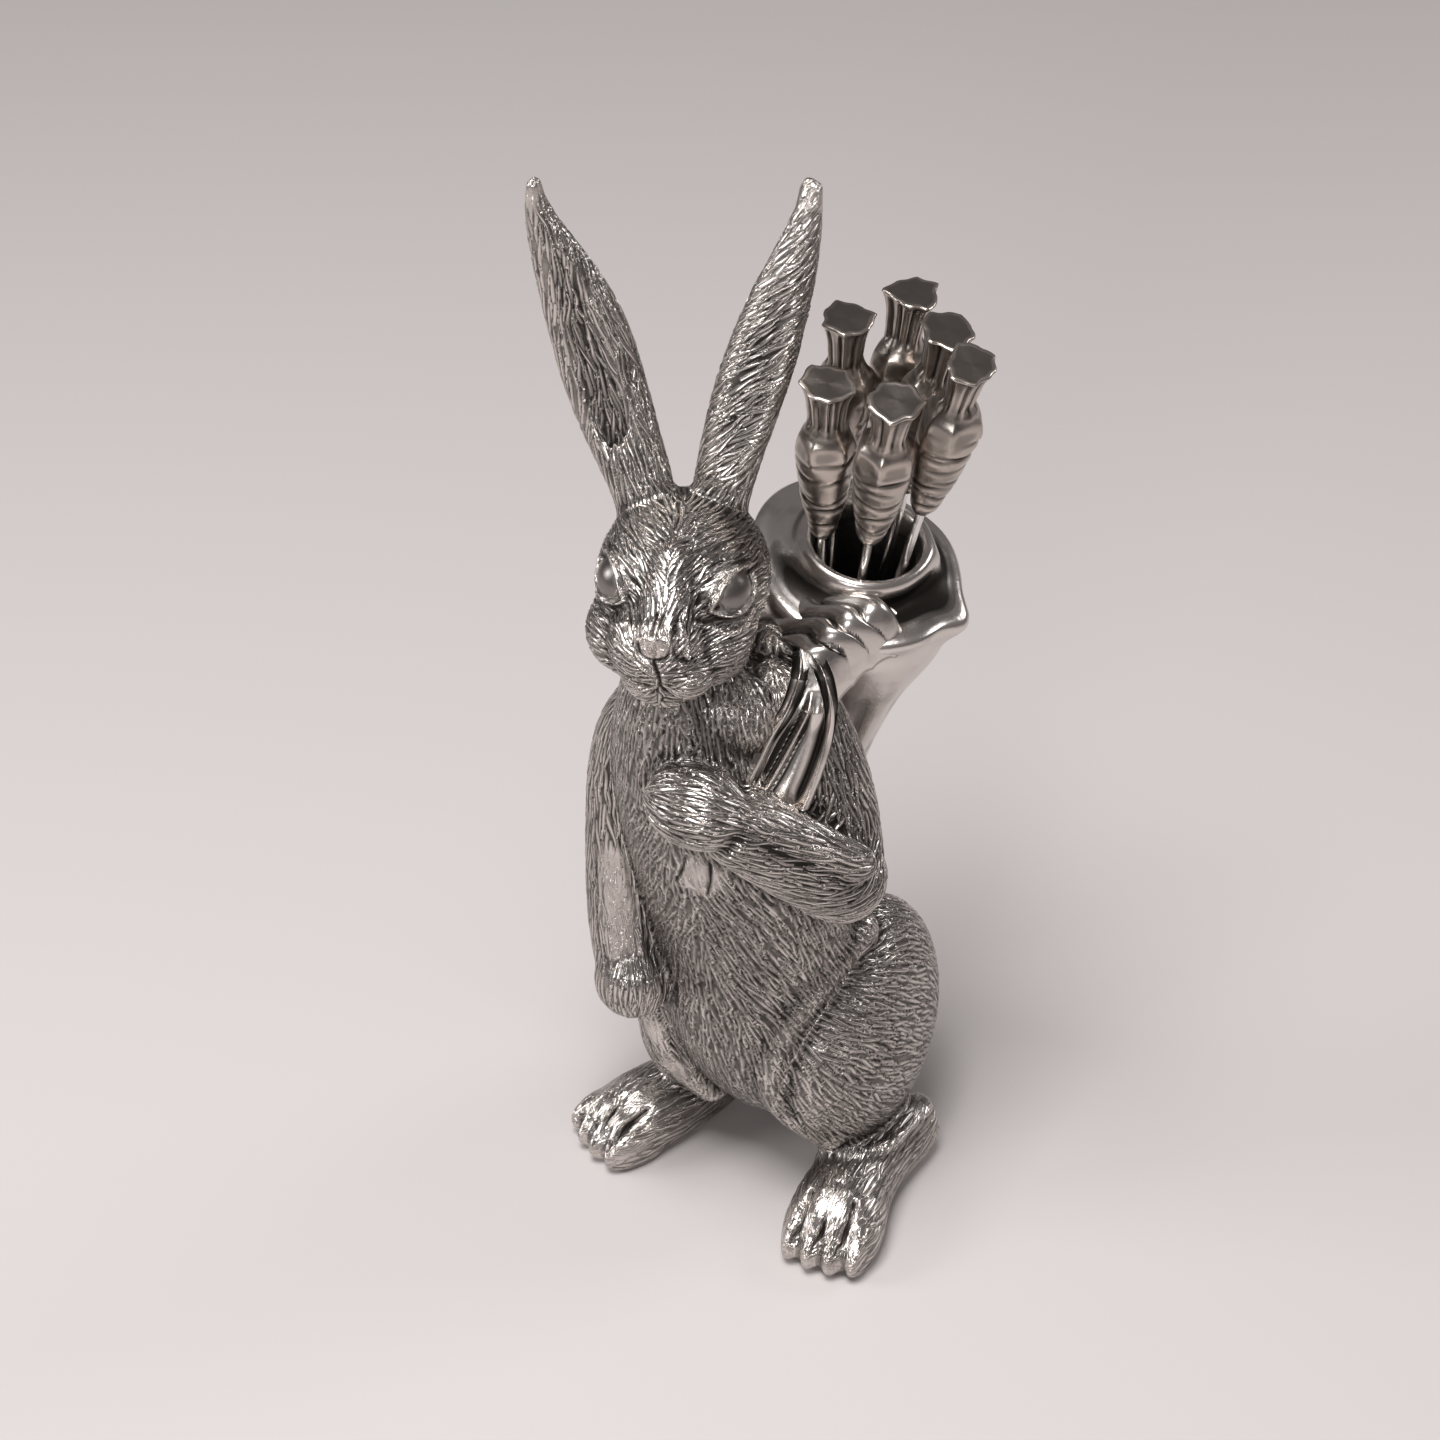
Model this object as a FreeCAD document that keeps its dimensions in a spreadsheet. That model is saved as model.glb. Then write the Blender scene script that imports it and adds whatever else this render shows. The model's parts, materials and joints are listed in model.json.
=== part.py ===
import FreeCAD, Part
import math
import os
import Sketcher

# A hare in cast pewter that stands on its hind feet and carries a cloth sack over its left
# shoulder. Six carrot-handled cocktail picks stand in a tapered well in the sack and pull out.
# The castings are separate pieces, joined by pegs in bores and soldered.
#
# Frame: millimetres, +Z up, the hare's chest towards -Y, its left side towards +X. The origin is
# on the table, under the middle of the object's box.

Vector = FreeCAD.Vector
Rotation = FreeCAD.Rotation
Placement = FreeCAD.Placement
UP = Vector(0, 0, 1)
EAST = Vector(1, 0, 0)

document = FreeCAD.newDocument("hare_pick_holder")
sheet = document.addObject("Spreadsheet::Sheet", "sizes")
value = {}


def put(name, number):
    """Write one named size into the sheet."""
    row = len(value) + 1
    sheet.set(f"A{row}", name)
    sheet.set(f"B{row}", str(number))
    sheet.setAlias(f"B{row}", name)
    value[name] = number


def put_rows(piece, words, rows):
    """Write one size per word for each named row of a piece."""
    for row_name, numbers in rows.items():
        for word, number in zip(words, numbers):
            put(f"{piece}_{row_name}_{word}", number)


# Walls and fits.
put("casting_wall", 2.5)
put("peg_clearance", 0.08)
put("bore_end_gap", 0.3)
put("pin_clearance", 0.35)
put("tang_clearance", 0.04)

# Outer sections of the castings: centre, then half the width and half the depth.
SECTION = ("x", "y", "z", "width", "depth")
TORSO = {
    "seat": (4.2, 7.5, 6.5, 10.5, 8.5),
    "rump": (4.2, 6, 14.5, 15.5, 14),
    "hips": (3.8, 1.5, 30, 19.5, 19.5),
    "belly": (1.7, -3, 52, 19, 18.5),
    "ribs": (-0.8, -8, 76, 18.5, 17),
    "chest": (-3.3, -11, 94, 16.5, 15),
    "shoulders": (-5.8, -12, 107, 12, 12),
    "neck": (-6.8, -11.5, 118, 8.5, 9),
}
RIGHT_EAR = {
    "root": (-14, -11.8, 133, 4.6, 3.6),
    "base": (-15.9, -10.4, 141, 5.2, 3.5),
    "middle": (-23.1, -8.2, 155, 6.6, 3.2),
    "blade": (-28.1, -8, 169, 6, 2.8),
    "point": (-32.8, -9.2, 181, 3.1, 2),
    "tip": (-34.2, -9.9, 189.5, 1.3, 1),
}
LEFT_EAR = {
    "root": (-4.7, -6.3, 133, 4.4, 3.6),
    "base": (-4.7, -5.1, 141, 4.6, 3.5),
    "middle": (-2.9, -1.2, 155, 5.4, 3.2),
    "blade": (-0.6, 3.8, 169, 5, 2.8),
    "point": (1.4, 8.2, 181, 3, 2),
    "tip": (1.8, 10.8, 189.5, 1.7, 1),
}
RIGHT_ARM = {
    "shoulder": (-14.8, -10.5, 100, 5.6, 6.4),
    "upper": (-17.6, -10.6, 90, 7.2, 7.8),
    "elbow": (-18.6, -11.4, 74, 7.4, 8.2),
    "forearm": (-17.2, -15.5, 60, 6.7, 7),
    "wrist": (-13.8, -19.4, 49, 6, 6),
}
LEFT_UPPER_ARM = {
    "shoulder": (10.8, -5.4, 105, 4.8, 6.2),
    "upper": (13.6, -4.8, 94, 6.9, 7.8),
    "elbow": (19.4, -8.4, 76, 7.3, 7.6),
}
LEFT_FOREARM = {
    "elbow": (20.2, -9.4, 76, 7.2, 7.2),
    "middle": (15.8, -17.5, 84.8, 6.8, 7.2),
    "wrist": (8.2, -24.8, 94, 6.4, 6.4),
}
SACK = {
    "base": (0, -4, 17, 6.5, 6.5),
    "toe": (0, -3.5, 22, 8.6, 8.6),
    "lower": (0, -3, 31, 10.2, 10.4),
    "middle": (0, -2.5, 46, 13, 12.8),
    "bulge": (0, -2, 59, 16.2, 15.5),
    "fold": (0, -1.5, 65, 15.3, 14.5),
    "collar": (0, 0, 69, 11.4, 11.4),
    "lip": (0, 0, 72, 10.2, 10.2),
}
SHOULDER_CLOTH = {
    "back": (13, 4, 117.5, 7, 3.8),
    "top": (12.2, -3, 114, 6.6, 3.8),
    "brow": (11.6, -9.4, 108, 5.6, 3.6),
    "chest": (11.4, -14.6, 101, 5, 3.2),
    "end": (11.6, -17.6, 93.5, 4, 2.6),
}
LEFT_FOOT = {
    "heel": (26.8, 12.4, 6, 4, 6),
    "arch": (25.2, 3, 6.4, 5.4, 7.8),
    "instep": (23.9, -8.5, 5.8, 7.5, 8),
    "ball": (25.2, -17.6, 4.6, 8.8, 7),
    "front": (25.8, -23.4, 3.4, 7.6, 4),
}
RIGHT_FOOT = {
    "heel": (-9.6, 7, 6, 4.6, 5.8),
    "arch": (-12.6, -0.5, 6.2, 6.4, 7.6),
    "instep": (-15.9, -7, 5.6, 7.5, 7.6),
    "ball": (-19.2, -13.2, 4.6, 7.8, 6.8),
    "front": (-21.5, -18, 3.4, 6.8, 4),
}
LOFTED = {
    "torso": TORSO,
    "right_ear": RIGHT_EAR,
    "left_ear": LEFT_EAR,
    "right_arm": RIGHT_ARM,
    "left_upper_arm": LEFT_UPPER_ARM,
    "left_forearm": LEFT_FOREARM,
    "sack": SACK,
    "shoulder_cloth": SHOULDER_CLOTH,
    "left_foot": LEFT_FOOT,
    "right_foot": RIGHT_FOOT,
}
for lofted_name, lofted_rows in LOFTED.items():
    put_rows(lofted_name, SECTION, lofted_rows)

# Rounded masses: centre, then the three half sizes. Those of the head are in the head's frame.
MASS = ("x", "y", "z", "width", "depth", "height")
put("head_x", -7.3)
put("head_y", -12.5)
put("head_z", 128.5)
put("head_turn", 15)
HEAD = {
    "skull": (0, 0, 0, 13.6, 15, 13.5),
    "left_cheek": (5.6, -8.5, -5, 7.6, 8, 7.2),
    "right_cheek": (-5.6, -8.5, -5, 7.6, 8, 7.2),
    "muzzle": (0, -14.8, -2.6, 7.8, 7.2, 7),
    "chin": (0, -12.6, -8.2, 6.8, 7, 5.8),
}
ROUNDED = {
    "left_haunch": (17.2, 3.9, 32, 12.2, 20.5, 24.6),
    "right_haunch": (-10.8, 3.9, 32, 11.5, 20, 24),
    "tail": (2.2, 26, 21, 8, 8, 9),
    "right_paw": (-13.2, -20.4, 47.6, 6.6, 6.6, 7.4),
    "left_elbow": (19.8, -8.8, 75.6, 7.7, 7.7, 7.7),
    "left_paw": (3.4, -27.2, 96.6, 8.8, 6.6, 6.8),
}
put_rows("head", MASS, HEAD)
put_rows("mass", MASS, ROUNDED)

# Toes: four to a foot, side by side ahead of the ball of the foot.
TOE_COUNT = 4
put("toe_pitch", 3.9)
put("toe_reach", 3)
put("toe_setback", 0.5)
put("toe_width", 2.3)
put("toe_length", 6.8)
put("toe_height", 4.6)
put("toe_rise", 3.6)

# Hollows pressed into the front of the ears.
put("ear_hollow_length", 18)
put("ear_hollow_width", 4.2)
put("ear_hollow_depth", 1.3)

# Pegs: the point where each one starts in its own casting, its heading, reach and radius.
PEG = ("x", "y", "z", "reach", "radius")
PEGS = {
    "head": (-7, -11.6, 121, 12, 4.5),
    "right_ear": (-18.3, -10, 145, 15, 1.6),
    "left_ear": (-4, -3.9, 145, 15, 1.6),
    "right_arm": (-20, -11.5, 90, 11, 2.4),
    "left_arm": (14.5, -8, 90, 12, 2.4),
    "left_haunch": (27, 2, 32, 13, 3),
    "right_haunch": (-20, 2, 32, 11, 3),
    "left_foot": (24.5, 1, 4, 18, 2),
    "right_foot": (-13.4, -4.5, 4, 17, 2),
    "tail": (2.2, 30, 21, 14, 2.4),
    "sack": (1.5, 13.5, 86, 10, 2.4),
}
HEADINGS = {
    "head": Vector(0, 0, -1),
    "right_ear": Vector(0.45, -0.17, -1),
    "left_ear": Vector(-0.09, -0.26, -1),
    "right_arm": Vector(1, 0, 0),
    "left_arm": Vector(-1, 0, 0),
    "left_haunch": Vector(-1, 0, 0),
    "right_haunch": Vector(1, 0, 0),
    "left_foot": Vector(-0.35, 0, 1),
    "right_foot": Vector(0.1, 0.2, 1),
    "tail": Vector(0, -1, 0),
    "sack": Vector(0, -1, 0),
}
put_rows("peg", PEG, PEGS)

# The fan of picks: all six axes spread from one point. The widest of them lean off the sack's
# axis as far as the well's wall does, and the others stand a little further in.
put("fan_x", -2.1)
put("fan_y", 22.8)
put("fan_z", 54.3)
put("fan_lean_x", 10.2)
put("fan_lean_y", 6.2)
put("fan_spread", 6.1)
put("well_floor_reach", 25.3)

# Each pick: its bearing round the sack's axis, how far in from the widest lean it stands, and how
# far its point stays off the floor of the well.
PICK = ("bearing", "inset", "lift")
PICKS = {
    1: (-130, 0, 0.5),
    2: (-66, 0, 6),
    3: (-13.5, 0, 11.2),
    4: (47.5, 2.7, 7.7),
    5: (112, 0, 6),
    6: (170, 0.7, 4.2),
}
put_rows("pick", PICK, PICKS)

# One pick: a pin with a pointed end, and the carrot cast around its tang.
put("pin_radius", 0.75)
put("pin_length", 50)
put("pin_point", 3)
put("tang_length", 12)
put("carrot_tip_radius", 1.5)
put("carrot_low_radius", 2.9)
put("carrot_low_height", 5)
put("carrot_middle_radius", 4.1)
put("carrot_middle_height", 13)
put("carrot_shoulder_radius", 4.85)
put("carrot_shoulder_height", 20.5)
put("carrot_crown_radius", 3.3)
put("carrot_height", 25)
put("stem_foot_radius", 3)
put("stem_top_radius", 4.6)
put("stem_height", 8.6)
put("stem_sink", 0.5)
STEM_SIDES = 7
document.recompute()


def bind(thing, formulas):
    """Tie properties of an object to cells of the sheet."""
    for name, formula in formulas.items():
        thing.setExpression(name, formula)


def point(prefix):
    """The place that three sizes with one prefix give."""
    return Vector(value[f"{prefix}_x"], value[f"{prefix}_y"], value[f"{prefix}_z"])


def bind_place(thing, prefix):
    """Tie an object's place to three sizes with one prefix."""
    bind(thing, {f"Placement.Base.{axis}": f"sizes.{prefix}_{axis}" for axis in "xyz"})


def ellipse(name, prefix, along, across, inset=0):
    """An elliptic section, square to one direction, with its width towards another."""
    section = document.addObject("Part::Ellipse", name)
    wide = value[f"{prefix}_width"] >= value[f"{prefix}_depth"]
    major, minor = ("width", "depth") if wide else ("depth", "width")
    wall = " - sizes.casting_wall" if inset else ""
    bind(section, {
        "MajorRadius": f"sizes.{prefix}_{major}{wall}",
        "MinorRadius": f"sizes.{prefix}_{minor}{wall}",
    })
    turn = Rotation(across, Vector(), along, "ZXY")
    quarter = Rotation(UP, 0 if wide else 90)
    section.Placement = Placement(point(prefix), turn.multiply(quarter))
    bind_place(section, prefix)
    return section


def loft(name, sections):
    """A smooth closed solid through sections."""
    solid = document.addObject("Part::Loft", name)
    solid.Sections = sections
    solid.Solid = True
    return solid


def upright_loft(piece, rows, name):
    """A loft through level sections."""
    return loft(name, [ellipse(f"{piece}_{row}_outline", f"{piece}_{row}", UP, EAST) for row in rows])


def limb_loft(piece, rows, name, across=EAST):
    """A loft along a bent path, with each section square to the path."""
    prefixes = [f"{piece}_{row}" for row in rows]
    places = [point(prefix) for prefix in prefixes]
    sections = []
    for number, prefix in enumerate(prefixes):
        before = places[max(number - 1, 0)]
        after = places[min(number + 1, len(places) - 1)]
        along = (after - before).normalize()
        sections.append(ellipse(f"{prefix}_outline", prefix, along, across))
    return loft(name, sections)


def whole_ellipsoid(name, up, wide, deep):
    """An unplaced ellipsoid with its three half sizes bound to cells of the sheet."""
    solid = document.addObject("Part::Ellipsoid", name)
    bind(solid, {"Radius1": f"sizes.{up}", "Radius2": f"sizes.{wide}", "Radius3": f"sizes.{deep}"})
    solid.Angle1 = -90
    solid.Angle2 = 90
    solid.Angle3 = 360
    return solid


def ellipsoid(name, prefix):
    """A rounded mass from six sizes."""
    solid = whole_ellipsoid(name, f"{prefix}_height", f"{prefix}_width", f"{prefix}_depth")
    bind_place(solid, prefix)
    return solid


def fuse(name, solids):
    """One solid from several that meet."""
    joined = document.addObject("Part::MultiFuse", name)
    joined.Shapes = solids
    joined.Refine = False
    return joined


def cut(name, base, tools):
    """A solid less one or more tools."""
    for number, tool in enumerate(tools, start=1):
        label = name if number == len(tools) else f"{name}_less_{number}"
        remainder = document.addObject("Part::Cut", label)
        remainder.Base = base
        remainder.Tool = tool
        base = remainder
    return base


def cylinder(name, radius, height, place):
    """A round bar with a bound radius and height."""
    solid = document.addObject("Part::Cylinder", name)
    bind(solid, {"Radius": radius, "Height": height})
    solid.Placement = place
    return solid


def peg_and_bore(piece):
    """The peg of a casting and the bore that takes it, on one axis."""
    turn = Rotation(UP, HEADINGS[piece])
    place = Placement(point(f"peg_{piece}"), turn)
    radius = f"sizes.peg_{piece}_radius"
    reach = f"sizes.peg_{piece}_reach"
    peg = cylinder(f"{piece}_peg", radius, reach, place)
    bore = cylinder(f"{piece}_bore", f"{radius} + sizes.peg_clearance",
                    f"{reach} + sizes.bore_end_gap", place)
    return peg, bore


pegs = {}
bores = {}
for peg_name in PEGS:
    pegs[peg_name], bores[peg_name] = peg_and_bore(peg_name)

# Torso: a slush-cast shell. Its cavity follows the outside, one wall further in.
torso_skin = upright_loft("torso", TORSO, "torso_skin")
cavity_sections = []
for torso_row in TORSO:
    cavity_section = ellipse(f"cavity_{torso_row}", f"torso_{torso_row}", UP, EAST, inset=1)
    if torso_row == "seat":
        cavity_section.setExpression("Placement.Base.z", "sizes.torso_seat_z + sizes.casting_wall")
    if torso_row == "neck":
        cavity_section.setExpression("Placement.Base.z", "sizes.torso_neck_z - sizes.casting_wall")
    cavity_sections.append(cavity_section)
torso_cavity = loft("torso_cavity", cavity_sections)
BORED_IN_TORSO = ("head", "right_arm", "left_arm", "left_haunch", "right_haunch", "left_foot",
                  "right_foot", "tail", "sack")
torso = cut("torso", torso_skin, [torso_cavity] + [bores[name] for name in BORED_IN_TORSO])

# Head: a skull with cheeks, muzzle and chin, turned to the hare's left.
head_place = Placement(point("head"), Rotation(UP, value["head_turn"]))
head_masses = [ellipsoid(f"head_{name}", f"head_{name}") for name in HEAD]
head_form = fuse("head_form", head_masses)
head_form.Placement = head_place
bind_place(head_form, "head")
head_body = cut("head_body", head_form, [torso_skin])
head_solid = fuse("head_solid", [head_body, pegs["head"]])
head = cut("head", head_solid, [bores["right_ear"], bores["left_ear"]])


def make_ear(piece, rows, front):
    """A flat blade with a hollow front, and a peg that stands in the head."""
    middle = point(f"{piece}_middle")
    top = point(f"{piece}_blade")
    along = (top - middle).normalize()
    across = front.cross(along).normalize()
    blade = limb_loft(piece, rows, f"{piece}_blade", across)
    hollow = whole_ellipsoid(f"{piece}_hollow", "ear_hollow_length", "ear_hollow_width",
                             "ear_hollow_depth")
    seat = (middle + top) * 0.5 + front * value[f"{piece}_middle_depth"]
    hollow.Placement = Placement(seat, Rotation(across, Vector(), along, "ZXY"))
    shaped = cut(f"{piece}_shaped", blade, [hollow, head_form])
    return fuse(piece, [shaped, pegs[piece]])


right_ear = make_ear("right_ear", RIGHT_EAR, Vector(0.3, -0.95, 0).normalize())
left_ear = make_ear("left_ear", LEFT_EAR, Vector(0.35, -0.94, 0).normalize())

# Sack: lofted square to the fan's axis, with a tapered well down that axis. The picks' pins lie
# along the wall of the well, so its taper is the fan's spread.
fan_lean = Rotation(Vector(0, 1, 0), value["fan_lean_x"]).multiply(Rotation(EAST, value["fan_lean_y"]))
fan_place = Placement(point("fan"), fan_lean)
sack_form = upright_loft("sack", SACK, "sack_form")
sack_form.Placement = fan_place
bind_place(sack_form, "fan")
well = document.addObject("Part::Cone", "well")
WELL_WALL = "(sizes.pin_radius + sizes.pin_clearance) / cos(sizes.fan_spread)"
bind(well, {
    "Radius1": f"sizes.well_floor_reach * tan(sizes.fan_spread) + {WELL_WALL}",
    "Radius2": f"(sizes.sack_lip_z + 1) * tan(sizes.fan_spread) + {WELL_WALL}",
    "Height": "sizes.sack_lip_z + 1 - sizes.well_floor_reach",
})
well.Placement = fan_place.multiply(Placement(Vector(0, 0, value["well_floor_reach"]), Rotation()))
sack_body = cut("sack_body", sack_form, [torso_skin, head_form])
sack_solid = fuse("sack_solid", [sack_body, pegs["sack"]])
sack = cut("sack", sack_solid, [well])

# Arms: the right one hangs, the left one is bent up to the chest and holds the cloth.
right_haunch_form = ellipsoid("right_haunch_form", "mass_right_haunch")
left_haunch_form = ellipsoid("left_haunch_form", "mass_left_haunch")
right_arm_form = fuse("right_arm_form", [
    limb_loft("right_arm", RIGHT_ARM, "right_arm_length"),
    ellipsoid("right_paw", "mass_right_paw"),
])
right_arm_body = cut("right_arm_body", right_arm_form, [torso_skin, right_haunch_form])
right_arm = fuse("right_arm", [right_arm_body, pegs["right_arm"]])

left_arm_form = fuse("left_arm_form", [
    limb_loft("left_upper_arm", LEFT_UPPER_ARM, "left_upper_arm_length"),
    limb_loft("left_forearm", LEFT_FOREARM, "left_forearm_length"),
    ellipsoid("left_elbow", "mass_left_elbow"),
    ellipsoid("left_paw", "mass_left_paw"),
])
left_arm_body = cut("left_arm_body", left_arm_form, [torso_skin, sack_form])
left_arm = fuse("left_arm", [left_arm_body, pegs["left_arm"]])

# The cloth of the sack, gathered over the shoulder and down to the left paw.
cloth_form = limb_loft("shoulder_cloth", SHOULDER_CLOTH, "shoulder_cloth_form")
shoulder_cloth = cut("shoulder_cloth", cloth_form, [torso_skin, head_form, sack_form, left_arm_form])

# Haunches and tail sit on the torso.
FLOOR_SIDE = 200
FLOOR_DEPTH = 40
floor = document.addObject("Part::Box", "floor")
floor.Length = FLOOR_SIDE
floor.Width = FLOOR_SIDE
floor.Height = FLOOR_DEPTH
floor.Placement = Placement(Vector(-FLOOR_SIDE / 2, -FLOOR_SIDE / 2, -FLOOR_DEPTH), Rotation())


def make_haunch(piece, form, foot):
    """A thigh that sits on the torso and takes the peg of its foot."""
    body = cut(f"{piece}_body", form, [torso_skin])
    solid = fuse(f"{piece}_solid", [body, pegs[piece]])
    return cut(piece, solid, [bores[foot]])


left_haunch = make_haunch("left_haunch", left_haunch_form, "left_foot")
right_haunch = make_haunch("right_haunch", right_haunch_form, "right_foot")
tail_body = cut("tail_body", ellipsoid("tail_form", "mass_tail"), [torso_skin])
tail = fuse("tail", [tail_body, pegs["tail"]])


def make_foot(piece, rows, haunch_form):
    """A long foot with four toes and a flat sole, and a peg up into the thigh."""
    length = limb_loft(piece, rows, f"{piece}_length")
    ball = point(f"{piece}_ball")
    along = ball - point(f"{piece}_instep")
    along.z = 0
    along.normalize()
    across = along.cross(UP)
    turn = Rotation(across, Vector(), UP, "ZXY")
    toes = []
    for number in range(TOE_COUNT):
        toe = whole_ellipsoid(f"{piece}_toe_{number + 1}", "toe_height", "toe_width", "toe_length")
        sideways = number - (TOE_COUNT - 1) / 2
        reach = value["toe_reach"] - value["toe_setback"] * sideways ** 2
        seat = ball + across * (sideways * value["toe_pitch"]) + along * reach
        seat.z = value["toe_rise"]
        toe.Placement = Placement(seat, turn)
        toes.append(toe)
    form = fuse(f"{piece}_form", [length] + toes)
    body = cut(f"{piece}_body", form, [haunch_form, torso_skin, floor])
    return fuse(piece, [body, pegs[piece]])


left_foot = make_foot("left_foot", LEFT_FOOT, left_haunch_form)
right_foot = make_foot("right_foot", RIGHT_FOOT, right_haunch_form)


# Where a sketch's corners lie before their sizes are bound.
SKETCH_START = 5.0


def revolved(name, corners):
    """A solid of revolution about Z through corners given as (radius, height) formulas."""
    body = document.addObject("PartDesign::Body", name)
    sketch = body.newObject("Sketcher::SketchObject", f"{name}_profile")
    plane = [item for item in body.Origin.OriginFeatures if item.Role == "XZ_Plane"][0]
    sketch.AttachmentSupport = [(plane, "")]
    sketch.MapMode = "FlatFace"
    count = len(corners)
    step = 2 * math.pi / count
    spots = [Vector(SKETCH_START + 2 * math.cos(step * n), SKETCH_START + 2 * math.sin(step * n), 0)
             for n in range(count)]
    for number in range(count):
        sketch.addGeometry(Part.LineSegment(spots[number], spots[(number + 1) % count]), False)
    for number in range(count):
        sketch.addConstraint(Sketcher.Constraint("Coincident", number, 2, (number + 1) % count, 1))
    for number, (radius, height) in enumerate(corners):
        for kind, formula in (("DistanceX", radius), ("DistanceY", height)):
            if formula == "0":
                on_axis = -2 if kind == "DistanceX" else -1
                sketch.addConstraint(Sketcher.Constraint("PointOnObject", number, 1, on_axis))
                continue
            index = sketch.addConstraint(Sketcher.Constraint(kind, -1, 1, number, 1, SKETCH_START))
            sketch.setExpression(f"Constraints[{index}]", formula)
    revolution = body.newObject("PartDesign::Revolution", f"{name}_turned")
    revolution.Profile = sketch
    revolution.ReferenceAxis = (sketch, ["V_Axis"])
    revolution.Angle = 360
    return body


def stem_outline(name, radius, height):
    """One end of a carrot's faceted stem."""
    outline = document.addObject("Part::RegularPolygon", name)
    outline.Polygon = STEM_SIDES
    bind(outline, {"Circumradius": radius, "Placement.Base.z": height})
    return outline


# Picks: each is a pin and a carrot, made on its own axis with the carrot's point at the origin.
carrots = []
pins = []
for pick_number in PICKS:
    lean = value["fan_spread"] - value[f"pick_{pick_number}_inset"]
    around = Rotation(UP, value[f"pick_{pick_number}_bearing"])
    outward = Rotation(Vector(0, 1, 0), lean)
    foot_reach = value["well_floor_reach"] / math.cos(math.radians(lean))
    reach = foot_reach + value[f"pick_{pick_number}_lift"] + value["pin_length"]
    aim = Placement(Vector(), around.multiply(outward))
    pick_place = fan_place.multiply(aim).multiply(Placement(Vector(0, 0, reach), Rotation()))

    root = revolved(f"carrot_{pick_number}_root", [
        ("0", "0"),
        ("sizes.carrot_tip_radius", "0"),
        ("sizes.carrot_low_radius", "sizes.carrot_low_height"),
        ("sizes.carrot_middle_radius", "sizes.carrot_middle_height"),
        ("sizes.carrot_shoulder_radius", "sizes.carrot_shoulder_height"),
        ("sizes.carrot_crown_radius", "sizes.carrot_height"),
        ("0", "sizes.carrot_height"),
    ])
    stem_foot = stem_outline(f"stem_{pick_number}_foot", "sizes.stem_foot_radius",
                             "sizes.carrot_height - sizes.stem_sink")
    stem_top = stem_outline(f"stem_{pick_number}_top", "sizes.stem_top_radius",
                            "sizes.carrot_height + sizes.stem_height")
    stem = loft(f"stem_{pick_number}", [stem_foot, stem_top])
    stem.Ruled = True
    hole = cylinder(f"carrot_{pick_number}_hole", "sizes.pin_radius + sizes.tang_clearance",
                    "sizes.tang_length + sizes.bore_end_gap", Placement())
    carrot = cut(f"carrot_{pick_number}", fuse(f"carrot_{pick_number}_form", [root, stem]), [hole])
    carrot.Placement = pick_place
    carrots.append(carrot)

    pin = revolved(f"pin_{pick_number}", [
        ("0", "-sizes.pin_length"),
        ("sizes.pin_radius", "sizes.pin_point - sizes.pin_length"),
        ("sizes.pin_radius", "sizes.tang_length"),
        ("0", "sizes.tang_length"),
    ])
    pin.Placement = pick_place
    pins.append(pin)

NODES = [torso, head, right_ear, left_ear, right_arm, left_arm, left_haunch, right_haunch,
         left_foot, right_foot, tail, sack, shoulder_cloth] + carrots + pins

document.recompute()
failed = [item.Name for item in document.Objects if set(item.State) & {"Invalid", "Error"}]
if failed:
    raise RuntimeError(f"objects that failed: {failed}")
for node in NODES:
    if node.Shape.isNull() or not node.Shape.isValid():
        raise RuntimeError(f"no valid shape: {node.Name}")
    if len(node.Shape.Solids) != 1:
        raise RuntimeError(f"{node.Name} has {len(node.Shape.Solids)} solids")

os.makedirs("parts", exist_ok=True)
for node in NODES:
    node.Label = node.Name
    node.Shape.exportStep(f"parts/{node.Name}.step")
    box = node.Shape.BoundBox
    print(f"{node.Name}: {node.Shape.Volume / 1000:.2f} cm3, x {box.XMin:.1f} to {box.XMax:.1f}, "
          f"y {box.YMin:.1f} to {box.YMax:.1f}, z {box.ZMin:.1f} to {box.ZMax:.1f}")
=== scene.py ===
import json
import math

import bpy
import numpy as np
from mathutils import Matrix, Vector
from mathutils.kdtree import KDTree

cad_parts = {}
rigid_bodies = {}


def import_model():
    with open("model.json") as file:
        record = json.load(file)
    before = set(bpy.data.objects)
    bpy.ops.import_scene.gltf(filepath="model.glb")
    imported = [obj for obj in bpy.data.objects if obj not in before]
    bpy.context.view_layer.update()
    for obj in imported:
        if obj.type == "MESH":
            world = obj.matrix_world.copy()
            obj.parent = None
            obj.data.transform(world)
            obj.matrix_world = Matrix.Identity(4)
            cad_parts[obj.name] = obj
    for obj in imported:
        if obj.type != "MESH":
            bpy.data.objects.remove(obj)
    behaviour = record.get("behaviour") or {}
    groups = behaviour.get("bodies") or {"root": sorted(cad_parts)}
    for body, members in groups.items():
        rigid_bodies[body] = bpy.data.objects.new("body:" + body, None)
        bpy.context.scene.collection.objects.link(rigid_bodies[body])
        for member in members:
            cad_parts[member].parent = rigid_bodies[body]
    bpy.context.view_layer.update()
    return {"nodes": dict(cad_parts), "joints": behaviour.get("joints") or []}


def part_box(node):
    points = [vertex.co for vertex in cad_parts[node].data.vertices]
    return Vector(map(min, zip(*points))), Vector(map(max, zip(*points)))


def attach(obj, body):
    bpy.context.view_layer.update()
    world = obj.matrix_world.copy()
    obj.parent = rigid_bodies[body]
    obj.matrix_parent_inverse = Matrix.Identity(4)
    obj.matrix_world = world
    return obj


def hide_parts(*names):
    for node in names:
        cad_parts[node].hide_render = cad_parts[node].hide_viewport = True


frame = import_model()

MM = 0.001


# ==== Table, lamps and camera ====================================================================
# A plain pale table top, soft lamps above and around it, and a camera that looks down on the hare
# from its left front. None of it belongs to the object.

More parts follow.
